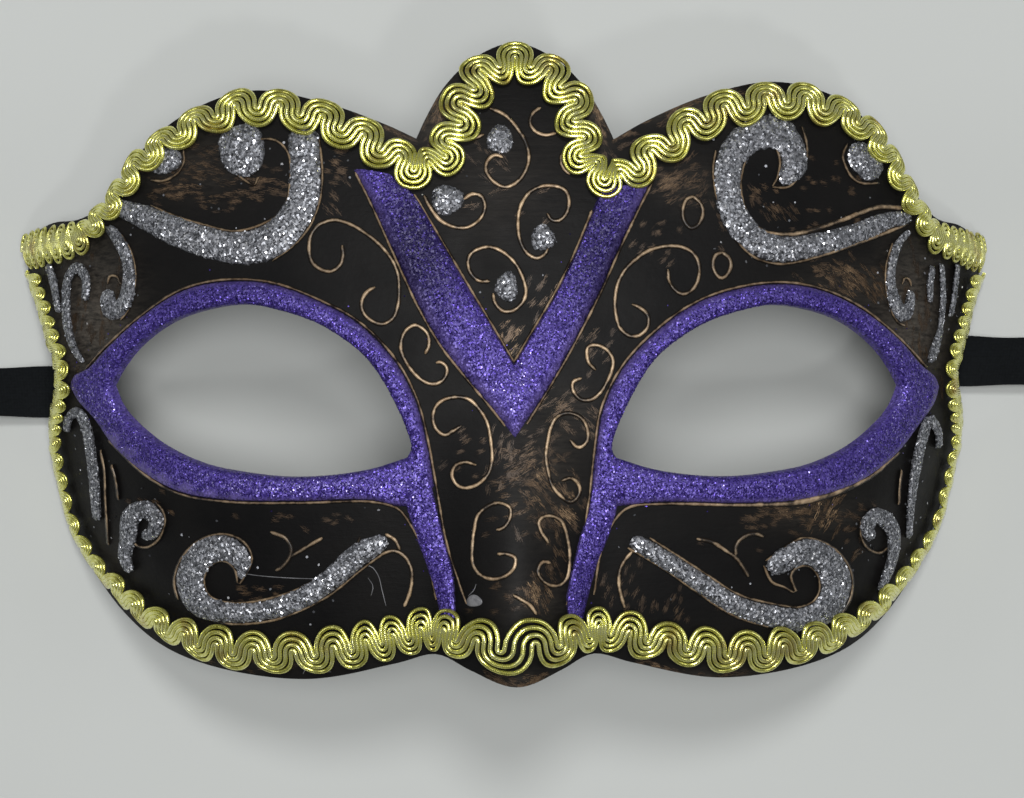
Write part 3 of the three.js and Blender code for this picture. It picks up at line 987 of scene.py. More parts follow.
# Silver glitter scrolls, pixels: x, y, width
silver = {
    "shares": [-0.97, -1.0, -0.9, -0.6, -0.2, 0.2, 0.6, 0.9, 1.0, 0.97],
    "lifts": [-0.5, 0.0, 0.65, 1.1, 1.25, 1.25, 1.1, 0.65, 0.0, -0.5],
    "spacing": 3.4,
    "scrolls": {
        "leftBrow": [
            (112, 205, 14), (126, 210, 19), (142, 216, 23), (160, 224, 28), (200, 240, 32),
            (240, 248, 33), (272, 240, 36), (292, 221, 34), (303, 200, 33), (305, 170, 32),
            (303, 128, 32),
        ],
        "rightBrow": [
            (912, 218, 10), (890, 220, 17), (860, 232, 20), (820, 244, 23), (780, 249, 27),
            (755, 240, 28), (736, 218, 28), (728, 190, 27), (731, 160, 29), (748, 138, 32),
            (775, 132, 34), (793, 150, 27), (794, 166, 26), (782, 182, 15),
        ],
        "leftDrop": [(236, 126, 40), (240, 140, 46), (242, 153, 46), (244, 167, 36), (245, 176, 18)],
        "leftCrescent": [(150, 152, 26), (160, 160, 30), (170, 158, 26), (176, 150, 18)],
        "rightCrescent": [(855, 144, 20), (861, 156, 29), (869, 166, 29), (881, 174, 20)],
        "leftTempleHook": [
            (108, 226, 9), (118, 240, 12), (127, 258, 12), (129, 283, 13), (124, 303, 16),
            (113, 312, 18), (108, 302, 16), (109, 290, 12),
        ],
        "leftTempleLoop": [
            (85, 300, 8), (86, 280, 9), (78, 267, 10), (69, 276, 9), (66, 300, 9), (68, 328, 9),
            (73, 346, 8), (82, 362, 6),
        ],
        "leftTempleEdge": [(48, 264, 7), (54, 285, 8), (58, 312, 6)],
        "rightTempleHook": [
            (910, 231, 6), (899, 243, 8), (892, 265, 9), (891, 285, 10), (896, 305, 14), (904, 315, 15),
            (910, 303, 10), (911, 291, 7),
        ],
        "rightTempleLoop": [(942, 264, 5), (943, 300, 6), (940, 330, 6), (935, 348, 9), (931, 362, 8)],
        "rightTempleLeg": [(933, 266, 6), (930, 285, 7), (931, 302, 5)],
        "rightTempleEdge": [(958, 264, 5), (955, 290, 5), (951, 316, 5)],
        "leftSideLoop": [
            (66, 432, 7), (69, 418, 9), (77, 412, 11), (85, 424, 11), (90, 446, 11), (94, 480, 11),
            (97, 520, 9),
        ],
        "rightSideLoop": [
            (939, 448, 7), (938, 431, 8), (930, 419, 10), (922, 440, 11), (915, 474, 10), (911, 505, 8),
            (909, 538, 6),
        ],
        "leftSmallCurl": [
            (130, 572, 10), (125, 556, 14), (128, 538, 17), (131, 517, 20), (144, 509, 18),
            (156, 520, 16), (151, 534, 13), (141, 535, 9),
        ],
        "rightSmallCurl": [
            (880, 590, 6), (886, 577, 10), (892, 560, 11), (894, 544, 13), (893, 531, 15),
            (886, 520, 17), (875, 516, 16), (867, 527, 15), (872, 540, 12),
        ],
        "leftBigScroll": [
            (240, 579, 5), (242, 562, 20), (224, 548, 27), (201, 556, 30), (190, 580, 29),
            (199, 603, 26), (225, 612, 21), (262, 611, 20), (298, 600, 22), (330, 580, 22),
            (360, 554, 24), (386, 540, 15),
        ],
        "rightBigScroll": [
            (770, 570, 20), (788, 558, 25), (810, 552, 27), (829, 564, 31), (836, 584, 32),
            (828, 607, 28), (805, 619, 24), (765, 615, 22), (735, 605, 20), (705, 586, 20),
            (672, 564, 19), (632, 540, 16),
        ],
    },
    # Drops and dots, pixels: x, y, half width, half height, and the rise in millimetres
    "dots": [
        (500, 140, 13, 14, 1.3), (447, 200, 16, 15, 1.3), (543, 238, 12, 13, 1.3),
        (507, 287, 11, 15, 1.3),
    ],
    "smoothAngle": 60,
    "waver": 0.03,
    "top": (2, 8),
    "paintedLightAndShade": [],
    "flakeRadius": (0.16, 0.28),
    "flakeCorners": 5,
    "flakeProud": 0.05,
    "flakeDepth": 0.9,
    "flakesPerSquare": 8.0,
    "flakeLean": 0.32,
    "strays": 220,
    "strayReach": 3.5,
    "strayLift": 0.02,
}


def silverGlue():
    material, tree = newMaterial("silverGlitterGlue")
    normal, cells = grainNormal(tree, objectPlace(tree), 2300, 1.1)
    colour = addRamp(tree, cells, (0.1, (0.05, 0.052, 0.058)), (0.6, (0.22, 0.225, 0.245)),
                     (0.95, (0.6, 0.61, 0.65)))
    return finishMaterial(material, {"Base Color": colour, "Normal": normal, "Metallic": 0.6,
                                     "Roughness": 0.42})


def silverFoil():
    material, tree = newMaterial("silverFlakes")
    tone = attributeValue(tree, "tone")
    colour = addRamp(tree, tone, (0.0, (0.06, 0.062, 0.07)), (0.5, (0.22, 0.23, 0.25)),
                     (0.86, (0.45, 0.46, 0.5)), (1.0, (0.98, 0.98, 1.0)))
    gloss = addGreys(tree, tone, (0.7, 0.45), (1.0, 0.2))
    return finishMaterial(material, {"Base Color": colour, "Roughness": gloss, "Metallic": 0.72})


# Drops of glue: lump is how far the rim swells and lumps how often
drop = {
    "segments": 24,
    "rings": 14,
    "lump": 0.08,
    "lumps": 3,
    "root": 0.5,
    "climb": (0.1, 1.0, 8),
}


# Places on a lumpy drop, at turns about its middle, shares of the way out and lifts
def dropPlaces(x, y, halfWidth, halfHeight, turns, reach, lifts):
    reach = reach * (1 + drop["lump"] * np.sin(drop["lumps"] * turns + x))
    px = x + halfWidth * reach * np.cos(turns)
    py = y - halfHeight * reach * np.sin(turns)
    return onFace(fromPhoto(np.stack([px, py], axis=1)), lifts)


# A drop over an oval of the photo, and the sheet of its top
def makeDrop(x, y, halfWidth, halfHeight, rise):
    part = addPrimitive("drop", bpy.ops.mesh.primitive_uv_sphere_add, segments=drop["segments"],
                        ring_count=drop["rings"], radius=1)
    ball = readPlaces(part)
    height = np.where(ball[:, 2] > 0, rise, drop["root"]) * ball[:, 2]
    turns = np.arctan2(ball[:, 1], ball[:, 0])
    reach = np.hypot(ball[:, 0], ball[:, 1])
    setPlaces(part, dropPlaces(x, y, halfWidth, halfHeight, turns, reach, height) * mm)
    turns = np.linspace(0, 2 * math.pi, drop["segments"] + 1)
    climbs = np.linspace(*drop["climb"]) * math.pi / 2
    sheet = [dropPlaces(x, y, halfWidth, halfHeight, turns, math.cos(climb), rise * math.sin(climb))
             for climb in climbs]
    return part, np.stack(sheet, axis=1)


def makeSilver():
    parts = []
    tops = []
    first, last = silver["top"]
    for stroke in silver["scrolls"].values():
        rings = strokeRings(stroke, silver["shares"], silver["lifts"], silver["spacing"],
                            waver=silver["waver"])
        parts.append(addRod("silverScrolls", rings)[0])
        tops.append(rings[:, first:last])
    for dot in silver["dots"]:
        part, top = makeDrop(*dot)
        parts.append(part)
        tops.append(top)
    scrolls = joinPieces("silverScrolls", parts)
    cleanUp(scrolls, silver["smoothAngle"])
    finishPiece(scrolls, silverGlue())
    makeFlakes("silverFlakes", tops, silver, silverFoil())


makeSilver()

# Raised lines rubbed with bronze, pixels
bronze = {
    "widths": {"lines": 4.7, "edges": 3.4},
    "waver": 0.06,
    "mostRings": 100,
    "smoothAngle": 70,
    "spacing": 2.6,
    "shares": [-0.9, -1.0, -0.62, 0.0, 0.62, 1.0, 0.9],
    "lifts": [-0.4, 0.0, 0.42, 0.58, 0.42, 0.0, -0.4],
    "crest": [0.0, 0.05, 0.72, 1.0, 0.72, 0.05, 0.0],
    "centreLightReach": (12.0, 44.0),  # painted light: the lines are painted brightest up to the first and dimmest past the second
    "dimmest": {"lines": 0.36, "edges": 0.72},
    "lines": {
        "crestCurl": [
            (490, 108), (505, 115), (517, 128), (526, 143), (529, 158), (525, 172), (517, 182),
            (505, 187), (493, 181), (486, 170), (488, 160), (495, 155), (503, 157),
        ],
        "panelLeft": [
            (424, 195), (430, 207), (440, 220), (455, 227), (468, 227), (480, 219), (485, 207),
            (481, 196), (472, 194), (464, 199),
        ],
        "panelRight": [
            (547, 213), (552, 220), (560, 220), (567, 212), (569, 200), (565, 190), (555, 186),
            (543, 186), (530, 192), (521, 205), (518, 222), (520, 240), (527, 253), (537, 258),
            (545, 254), (548, 248),
        ],
        "panelLow": [
            (490, 281), (480, 281), (472, 275), (468, 265), (470, 255), (478, 249), (490, 247),
            (503, 252), (515, 263), (523, 278), (526, 292), (522, 303), (512, 311), (503, 311),
            (495, 303), (493, 293),
        ],
        "crestRight": [(541, 107), (533, 113), (530, 122), (535, 131), (545, 135), (556, 133)],
        "crestTick": [(562, 153), (561, 162), (565, 170), (570, 174)],
        "crestDash": [(470, 139), (478, 137), (484, 134)],
        "leftLidCurl": [
            (342, 245), (343, 255), (340, 265), (332, 271), (322, 270), (312, 262), (309, 250),
            (311, 235), (320, 224), (335, 220), (350, 224), (365, 233), (380, 245), (392, 260),
            (398, 275), (399, 290), (398, 305), (393, 318), (383, 324), (372, 321), (363, 312),
            (362, 300), (368, 291), (375, 287),
        ],
        "rightLidCurl": [
            (668, 269), (669, 280), (675, 290), (683, 294), (692, 290), (698, 280), (699, 265),
            (693, 253), (682, 247), (668, 246), (650, 250), (635, 260), (625, 270), (618, 283),
            (615, 300), (616, 315), (620, 328), (630, 336), (640, 335), (648, 326), (648, 316),
            (642, 309), (632, 304),
        ],
        "leftBridgeCurl": [
            (425, 354), (429, 345), (428, 335), (422, 328), (415, 325), (407, 329), (402, 338),
            (401, 350), (406, 362), (415, 374), (425, 382), (435, 384), (443, 380), (447, 372),
            (446, 366), (440, 362), (436, 363),
        ],
        "rightBridgeCurl": [
            (596, 370), (589, 363), (587, 355), (588, 347), (597, 345), (607, 350), (613, 360),
            (612, 370), (607, 382), (600, 393), (590, 400), (580, 399), (573, 390), (573, 382),
            (582, 378),
        ],
        "noseUpperLeft": [
            (461, 426), (453, 431), (445, 435), (437, 430), (433, 420), (435, 408), (443, 400),
            (458, 397), (470, 400), (480, 410), (487, 422), (490, 435), (492, 460), (488, 474),
            (478, 484), (465, 488), (457, 485), (452, 475), (455, 466), (465, 462), (476, 465),
        ],
        "noseUpperRight": [
            (570, 440), (577, 447), (583, 446), (588, 438), (586, 425), (580, 417), (568, 413),
            (557, 417), (551, 427), (548, 440), (546, 455), (548, 470), (552, 485), (560, 495),
            (570, 502), (577, 498), (580, 490), (577, 482), (570, 478), (562, 481),
        ],
        "noseLowerLeft": [
            (496, 530), (503, 528), (510, 518), (510, 508), (500, 503), (490, 505), (478, 515),
            (474, 530), (472, 550), (473, 565), (480, 575), (493, 579), (505, 576), (514, 568),
            (515, 558), (507, 554), (497, 554),
        ],
        "noseLowerRight": [
            (549, 543), (542, 533), (539, 522), (543, 517), (552, 516), (562, 522), (568, 540),
            (570, 560), (567, 578), (560, 585), (550, 585), (540, 577), (538, 570), (543, 562),
            (551, 563),
        ],
        "noseFoot": [(513, 595), (522, 600), (530, 605), (537, 615)],
        "leftCheekStem": [(270, 532), (285, 538), (291, 548), (290, 556), (283, 566), (275, 571)],
        "leftCheekBranch": [(290, 557), (300, 551), (322, 538)],
        "rightCheekStem": [(697, 539), (712, 542), (725, 550), (736, 558), (745, 570), (749, 577)],
        "rightCheekBranch": [(764, 537), (757, 534), (748, 535), (740, 540), (736, 547), (736, 556)],
        "leftCheekTick": [(385, 534), (395, 540), (400, 550)],
        "leftCheekLoop": [
            (380, 555), (392, 551), (402, 554), (410, 565), (412, 580), (409, 595), (404, 607),
        ],
        "rightCheekLoop": [(632, 552), (625, 560), (620, 570), (619, 585), (622, 598), (625, 608)],
        "rightRing": [
            (693, 196), (701, 204), (703, 214), (698, 225), (691, 228), (684, 220), (683, 209),
            (687, 199), (694, 196),
        ],
        "rightSmallRing": [
            (722, 252), (729, 258), (731, 266), (727, 275), (721, 278), (715, 272), (713, 263),
            (716, 255), (723, 252),
        ],
    },
    # Thinner lines that edge the glittered relief
    "edges": {
        "leftBrowOver": [
            (150, 205), (175, 216), (205, 225), (235, 231), (262, 224), (283, 210), (289, 190),
            (290, 160), (285, 148), (275, 140), (262, 139), (255, 142),
        ],
        "leftBrowFront": [
            (319, 138), (322, 165), (322, 185), (318, 207), (308, 229), (292, 247, 2.8),
            (272, 261, 2.2),
        ],
        "leftDropHook": [(236, 173), (246, 181), (254, 185), (258, 177)],
        "rightBrowOver": [
            (908, 209, 5), (898, 208, 6), (880, 207, 6), (860, 213, 6), (840, 221, 6), (800, 233, 6),
            (780, 234, 5), (765, 231), (752, 222), (744, 205), (741, 185), (744, 165), (754, 146),
            (765, 142), (775, 147), (780, 160), (778, 176), (773, 186),
        ],
        "rightBrowFront": [(802, 126), (807, 145), (806, 163), (798, 178), (788, 187), (773, 187)],
        "rightBrowUnder": [
            (716, 150), (713, 170), (716, 193), (724, 218), (738, 242), (756, 258), (780, 264),
            (810, 259, 4), (850, 246, 5), (885, 233, 5), (908, 224, 4),
        ],
        "leftCrescentEdge": [(183, 150), (184, 160), (180, 170), (172, 177), (162, 181), (150, 180)],
        "rightCrescentEdge": [(848, 143), (843, 155), (846, 167), (853, 178), (862, 183), (880, 183)],
        "leftHookCurl": [(107, 284), (110, 276), (117, 277), (120, 284)],
        "leftHookEdge": [(120, 234), (130, 250), (135, 268), (134, 290), (129, 308), (120, 320)],
        "rightHookCurl": [(903, 284), (905, 278), (909, 279), (912, 286)],
        "rightHookEdge": [(893, 243), (887, 262), (886, 285), (890, 306), (898, 322), (906, 326)],
        "leftSideEdge": [(100, 450), (104, 470), (105, 500), (108, 545)],
        "leftSideTick": [(111, 465), (115, 478), (118, 500)],
        "rightSideEdge": [(902, 470), (900, 485), (899, 505)],
        "leftCurlEdge": [
            (155, 502), (162, 510), (165, 520), (163, 530), (158, 540), (148, 547), (140, 547),
            (133, 543),
        ],
        "rightCurlEdge": [(861, 522), (861, 535), (865, 545), (872, 551), (880, 553), (888, 548)],
        "leftScrollOver": [
            (178, 600), (174, 585), (176, 570), (183, 556), (198, 541), (220, 534), (238, 538),
            (248, 547), (252, 560), (246, 573), (238, 585), (236, 573), (230, 564), (220, 561),
            (210, 566), (204, 578), (206, 590), (214, 599), (240, 603), (285, 594), (330, 571),
            (355, 548), (360, 537),
        ],
        "leftScrollUnder": [
            (205, 618), (230, 624), (270, 621), (300, 611), (330, 595), (365, 567), (387, 551),
        ],
        "rightScrollHook": [
            (764, 566), (772, 582), (784, 587), (796, 593), (791, 576), (798, 567), (810, 567),
            (818, 576), (820, 588), (815, 600), (800, 607), (775, 604), (740, 595), (700, 570),
            (650, 538),
        ],
        "rightScrollOver": [
            (766, 561), (780, 551), (803, 538), (825, 543), (842, 556), (852, 575), (851, 597),
            (840, 617),
        ],
        "rightScrollUnder": [(628, 548), (660, 566, 4), (700, 594, 4), (735, 616, 4), (770, 627)],
        "leftLidEdge": [
            (84, 370), (105, 347), (140, 316), (180, 290), (220, 280), (270, 282), (320, 300),
            (361, 323), (397, 361), (417, 399), (428, 440), (437, 490), (447, 545), (458, 580),
            (466, 604),
        ],
        "rightLidEdge": [
            (928, 368), (900, 338), (860, 306), (820, 288), (780, 282), (730, 289), (690, 305),
            (649, 336), (620, 369), (601, 409), (595, 445), (589, 500), (579, 560), (567, 605),
        ],
        "leftLowerEdge": [
            (108, 440), (145, 475), (180, 494), (230, 502), (300, 503), (372, 502), (398, 509),
            (410, 524), (426, 556), (436, 600),
        ],
        "rightLowerEdge": [
            (900, 452), (870, 477, 5), (840, 491, 7), (800, 502, 7), (750, 505, 5), (660, 504),
            (630, 507), (618, 516), (602, 548), (594, 595),
        ],
        "veeLeftInner": [(414, 194), (441, 239), (470, 288), (500, 338), (514, 362)],
        "veeRightInner": [(514, 362), (528, 338), (553, 296), (573, 256), (592, 210)],
        "veeLeftOuter": [
            (355, 172), (370, 202), (397, 262), (418, 307), (440, 345), (465, 377), (490, 407),
            (505, 426),
        ],
        "veeRightOuter": [
            (527, 424), (550, 387), (573, 347), (601, 292), (621, 247), (641, 205), (654, 180),
        ],
    },
}


def bronzeRub():
    material, tree = newMaterial("bronzeRubbedLine")
    place = objectPlace(tree)
    patchy = addNoise(tree, place, 330, 6, 0.65)
    rubbed = addMath(tree, "ADD", addMath(tree, "MULTIPLY", attributeValue(tree, "crest"), 0.5), patchy)
    paint = addGreys(tree, addMath(tree, "MULTIPLY", rubbed, 0.8), (0.66, 0), (0.84, 1))
    # the clear mark is painted light: the lines are brighter towards the middle of the mask
    paint = addMath(tree, "MULTIPLY", paint, attributeValue(tree, "clear"))
    grain = addNoise(tree, place, 900)
    tone = addRamp(tree, grain, (0.3, (0.24, 0.155, 0.085)), (0.75, (0.66, 0.49, 0.31)))
    return finishMaterial(material, {
        "Base Color": addMix(tree, paint, (0.012, 0.008, 0.005), tone),
        "Metallic": addMath(tree, "MULTIPLY", paint, 0.3),
        "Normal": addBump(tree, patchy, 0.3, 0.0004),
        "Roughness": 0.46,
    })


def makeBronzeLines():
    near, far = bronze["centreLightReach"]
    most = bronze["mostRings"]
    parts = []
    for group, width in bronze["widths"].items():
        dimmest = bronze["dimmest"][group]
        for line in bronze[group].values():
            stroke = [(*knot, width)[:3] for knot in line]
            rings = strokeRings(stroke, bronze["shares"], bronze["lifts"], bronze["spacing"],
                                waver=bronze["waver"])
            if len(rings) > most:
                rings = rings[np.linspace(0, len(rings) - 1, most).astype(int)]
            part, ring, turn = addRod("bronzeLines", rings)
            setAttribute(part, "crest", np.array(bronze["crest"])[turn])
            outward = np.clip((np.abs(rings[ring, 3, 0]) - near) / (far - near), 0, 1)
            # painted light: the paint share falls away from the middle of the mask
            setAttribute(part, "clear", 1 - (1 - dimmest) * outward)
            parts.append(part)
    lines = joinPieces("bronzeLines", parts)
    cleanUp(lines, bronze["smoothAngle"])
    finishPiece(lines, bronzeRub())


makeBronzeLines()

# Bronze dragged over the black with a dry brush: patches of fine strokes
brushwork = {
    # pixel x, y, reach x, reach y, turn in degrees, strokes, longest millimetres, brightness
    "patches": [
        (190, 160, 26, 14, -8, 110, 5.0, 0.75), (178, 190, 22, 8, -4, 60, 4.0, 0.8),
        (230, 195, 44, 12, -6, 90, 4.0, 0.45), (262, 183, 26, 10, -8, 60, 3.5, 0.55),
        (160, 152, 22, 14, -20, 40, 4.0, 0.5), (338, 166, 12, 16, -10, 36, 2.6, 0.6),
        (340, 200, 12, 16, -50, 16, 4.0, 0.5), (668, 182, 22, 16, 24, 110, 3.6, 0.75),
        (690, 170, 26, 18, 40, 60, 3.0, 0.5), (758, 190, 12, 8, -40, 22, 2.0, 0.6),
        (780, 212, 16, 12, -50, 22, 4.5, 0.5), (830, 195, 40, 26, 0, 70, 1.2, 0.4),
        (845, 278, 26, 12, -38, 120, 5.0, 0.85), (868, 290, 22, 14, -48, 70, 4.5, 0.6),
        (825, 268, 16, 8, 10, 40, 3.0, 0.6), (800, 512, 30, 12, -8, 110, 4.0, 0.8),
        (824, 508, 14, 18, 66, 60, 4.0, 1.0), (765, 520, 30, 16, -10, 70, 2.5, 0.45),
        (850, 510, 24, 10, -24, 46, 3.0, 0.5), (860, 545, 16, 20, 30, 30, 2.0, 0.4),
        (620, 590, 26, 22, 70, 60, 3.0, 0.35), (680, 610, 26, 14, 70, 36, 2.5, 0.3),
        (530, 455, 22, 22, 28, 120, 4.0, 0.6), (548, 488, 22, 26, -50, 120, 5.0, 0.85),
        (566, 512, 10, 16, -50, 60, 4.0, 1.0), (516, 500, 20, 30, 20, 70, 4.0, 0.5),
        (545, 540, 18, 26, -60, 50, 4.0, 0.5), (538, 594, 10, 12, -62, 60, 4.0, 1.0),
        (500, 600, 22, 12, 10, 30, 2.0, 0.4), (556, 405, 14, 16, 30, 60, 3.0, 0.6),
        (580, 420, 14, 14, -40, 40, 3.0, 0.6), (500, 460, 10, 30, 70, 40, 3.0, 0.45),
        (470, 445, 20, 30, 30, 30, 2.0, 0.35), (436, 106, 9, 30, 62, 110, 4.0, 0.8),
        (601, 112, 8, 30, -62, 110, 4.0, 0.8), (660, 112, 36, 9, 26, 130, 5.0, 0.8),
        (715, 94, 36, 8, 14, 110, 5.0, 0.6), (626, 132, 12, 8, 30, 40, 3.0, 0.7),
        (400, 128, 18, 7, -24, 50, 3.0, 0.6), (370, 115, 24, 6, -20, 30, 3.0, 0.35),
        (540, 683, 26, 6, 4, 80, 4.0, 0.8), (505, 680, 16, 6, -20, 30, 3.0, 0.5),
        (240, 664, 60, 7, -6, 70, 4.0, 0.5), (640, 668, 26, 6, -16, 50, 4.0, 0.8),
        (740, 676, 70, 6, 2, 70, 4.0, 0.4), (500, 180, 46, 40, 30, 30, 4.0, 0.5),
        (470, 150, 20, 20, -50, 24, 5.0, 0.55), (510, 340, 12, 14, 50, 60, 3.0, 0.9),
        (545, 300, 10, 22, 60, 40, 3.0, 0.5), (250, 595, 30, 8, 4, 40, 3.0, 0.5),
        (165, 500, 20, 14, -30, 26, 2.5, 0.4), (300, 520, 60, 12, -4, 30, 2.0, 0.3),
        (90, 320, 26, 46, 80, 80, 5.0, 0.3), (915, 320, 20, 46, -80, 80, 5.0, 0.35),
        (730, 220, 20, 30, -60, 40, 3.0, 0.3), (650, 240, 30, 30, 40, 40, 2.0, 0.3),
        (595, 340, 14, 20, 50, 30, 3.0, 0.4),
    ],
    "perDrag": 30,       # short dashes in one drag of the brush
    "dragsPerStroke": 0.3,
    "spread": 0.75,
    "dragShare": (0.2, 0.8),
    "dragTone": (0.3, 1.0),
    "fade": 0.15,
    "dashTone": (0.4, 1.1),
    "dashAt": (-0.5, 0.5),
    "dragWidth": 0.22,
    "dashLength": (0.2, 1.7),
    "halfWidth": (0.012, 0.036),
    "lift": 0.04,
    "root": -0.1,
    "sway": 9.0,        # degrees either way
    "dashSway": 2.5,
}


def brushedBronze():
    material, tree = newMaterial("brushedBronze")
    colour = addRamp(tree, attributeValue(tree, "tone"), (0.0, (0.02, 0.012, 0.007)),
                     (0.5, (0.13, 0.08, 0.042)), (1.0, (0.5, 0.34, 0.19)))
    return finishMaterial(material, {"Base Color": colour, "Metallic": 0.3, "Roughness": 0.5})


# Drags of the brush, each broken into short dashes that taper at both ends, as one mesh
def makeBrushwork():
    starts = []
    rows = []
    for x, y, reachX, reachY, turn, strokes, longest, bright in brushwork["patches"]:
        drags = int(strokes * brushwork["dragsPerStroke"]) + 1
        off = dice.standard_normal((drags, 2))
        starts.append(np.array((x, y)) + off * (reachX, reachY) * brushwork["spread"])
        turns = np.radians(turn + brushwork["sway"] * dice.standard_normal(drags))
        lengths = longest * dice.uniform(*brushwork["dragShare"], drags)
        tones = bright * dice.uniform(*brushwork["dragTone"], drags)
        tones *= np.exp(-brushwork["fade"] * (off ** 2).sum(axis=1))
        rows.append(np.stack([turns, lengths, tones], axis=1))
    each = brushwork["perDrag"]
    drags = np.repeat(fromPhoto(np.concatenate(starts)), each, axis=0)
    turns, lengths, tones = np.repeat(np.concatenate(rows), each, axis=0).T
    count = len(turns)
    tones = tones * dice.uniform(*brushwork["dashTone"], count)
    along = headingsOf(turns)
    middles = drags + along * (lengths * dice.uniform(*brushwork["dashAt"], count))[:, None]
    middles += leftOf(along) * (brushwork["dragWidth"] * dice.standard_normal(count))[:, None]
    ahead = headingsOf(turns + np.radians(brushwork["dashSway"]) * dice.standard_normal(count))
    shortest, longest = brushwork["dashLength"]
    reach = ahead * (shortest + (longest - shortest) * dice.random(count) ** 2)[:, None] / 2
    breadth = leftOf(ahead) * dice.uniform(*brushwork["halfWidth"], count)[:, None]
    kept = onPlastic(middles) & onPlastic(middles - reach) & onPlastic(middles + reach)
    middles, reach, breadth = middles[kept], reach[kept], breadth[kept]
    widest = middles - reach * dice.uniform(*brushwork["dashAt"], len(reach))[:, None]
    corners = [middles + reach, widest + breadth, middles - reach, widest - breadth]
    rims = np.stack([onFace(corner, brushwork["lift"]) for corner in corners], axis=1)
    strokes = addPlates("brushStrokes", rims, onFace(middles, brushwork["root"]), tones[kept])
    finishPiece(strokes, brushedBronze())


makeBrushwork()

# Strings of clear glue drawn out over the cheek and a smear beside the nose, pixels
glue = {
    "width": 1.0,
    "shares": [-1.0, -0.5, 0.5, 1.0, 0.5, -0.5],
    "lifts": [0.09, 0.18, 0.18, 0.09, 0.01, 0.01],
    "spacing": 4.0,
    "strings": {
        "cheekString": [(246, 574), (262, 576), (290, 578), (322, 579)],
        "loopString": [(358, 569), (370, 566), (378, 575), (382, 590), (386, 606)],
        "loopTail": [(368, 578), (373, 586), (371, 596)],
        "rimWisp": [(297, 664), (305, 668), (303, 674)],
        "rimTail": [(312, 665), (320, 670), (331, 672)],
        "noseWisp": [(468, 596), (474, 590), (476, 584)],
    },
    "smear": (474, 601, 8, 6, 0.25),
    "smoothAngle": 60,
}


def clearGlue():
    material, tree = newMaterial("drawnGlue")
    cloud = addNoise(tree, objectPlace(tree), 500, 4)
    return finishMaterial(material, {
        "Base Color": addRamp(tree, cloud, (0.3, (0.07, 0.07, 0.075)), (0.75, (0.25, 0.25, 0.26))),
        "Normal": addBump(tree, cloud, 0.3, 0.0004),
        "Roughness": 0.4,
    })


def makeGlue():
    parts = [makeDrop(*glue["smear"])[0]]
    for string in glue["strings"].values():
        stroke = [(*knot, glue["width"]) for knot in string]
        rings = strokeRings(stroke, glue["shares"], glue["lifts"], glue["spacing"])
        parts.append(addRod("glueStrings", rings)[0])
    strings = joinPieces("glueStrings", parts)
    cleanUp(strings, glue["smoothAngle"])
    finishPiece(strings, clearGlue())


makeGlue()

# Gimp braid: four wrapped cords lying side by side in one meander along the rim
braid = {
    "pitch": 7.6,
    "halfWidth": 3.85,
    "offsets": [-1.46, -0.49, 0.49, 1.46],
    "cordRadius": 0.41,
    "innerFoot": 0.25,   # the lobes are flat: this high, and more in step with their radius
    "squareness": 0.9,   # power that squares the lobes and straightens their legs
    "lift": 0.6,
    "arch": 0.85,        # the legs lie this much higher in the middle
    "perLobe": 14,
    "perSpan": 24,
    "sides": 8,
    "wander": {"swell": 0.06, "drift": 0.12, "bob": 0.09, "slant": 0.06},  # from lobe to lobe
    "smoothAngle": 60,
    "overhang": 0.7,     # the looped ends reach this far past the band
    "wrapsPerMillimetre": 3.0,
    # Routes on one half: x, y, skew, share of the pitch, share of the width
    "topRoute": [
        (0, 50.6, 0, 0.75, 1), (4.8, 48.8, 0, 0.85, 1), (8.2, 44.9, 1, 0.9, 1), (10.1, 39.8, 1.2, 0.9, 1),
        (12, 33.2, -0.8, 0.7, 0.95), (16.4, 31.2, -0.8, 0.75, 0.95), (22.2, 34.8, -0.7, 1, 0.95),
        (33, 41.2, 0.3, 1.05, 0.95), (45, 44, 0.9, 1, 0.95), (56, 41.4, 1.8, 0.95, 0.85),
        (63.6, 36.2, 1.8, 0.85, 0.78), (68.8, 29, 1.2, 0.72, 0.76), (74.6, 23, 0.3, 0.6, 0.86),
        (82.4, 21.6, 0, 0.45, 1), (87.4, 21.2, 0, 0.45, 1),
    ],
    "bottomRoute": [
        (0, -46.5, 0, 1.15, 1.25), (6, -45.9, 0, 1.1, 1.18), (13, -44.2, 0, 0.65, 1.1),
        (21.5, -45.8, 0, 0.92, 1.1), (35, -48.6, 0, 1, 1.07), (51, -48, 0, 1, 1.07),
        (63.2, -43.8, 0, 0.95, 1), (72.6, -36.8, 0, 0.8, 0.9), (78.5, -29.4, 0, 0.62, 0.78),
        (80.9, -21, 0, 0.5, 0.74), (81.7, -11.6, 0, 0.46, 0.74), (79, -2.2, 0, 0.46, 0.74),
        (82.9, 9.2, 0, 0.46, 0.76), (86.5, 16.8, 0, 0.5, 0.8),
    ],
    # Where it is pushed together on one side only: x, y, reach, share of the pitch
    "gathers": [(-22, -46, 7, 0.66)],
    "middles": {"braid_top": 0.0, "braid_bottom": 2.3},  # where the middle lobe points up
}


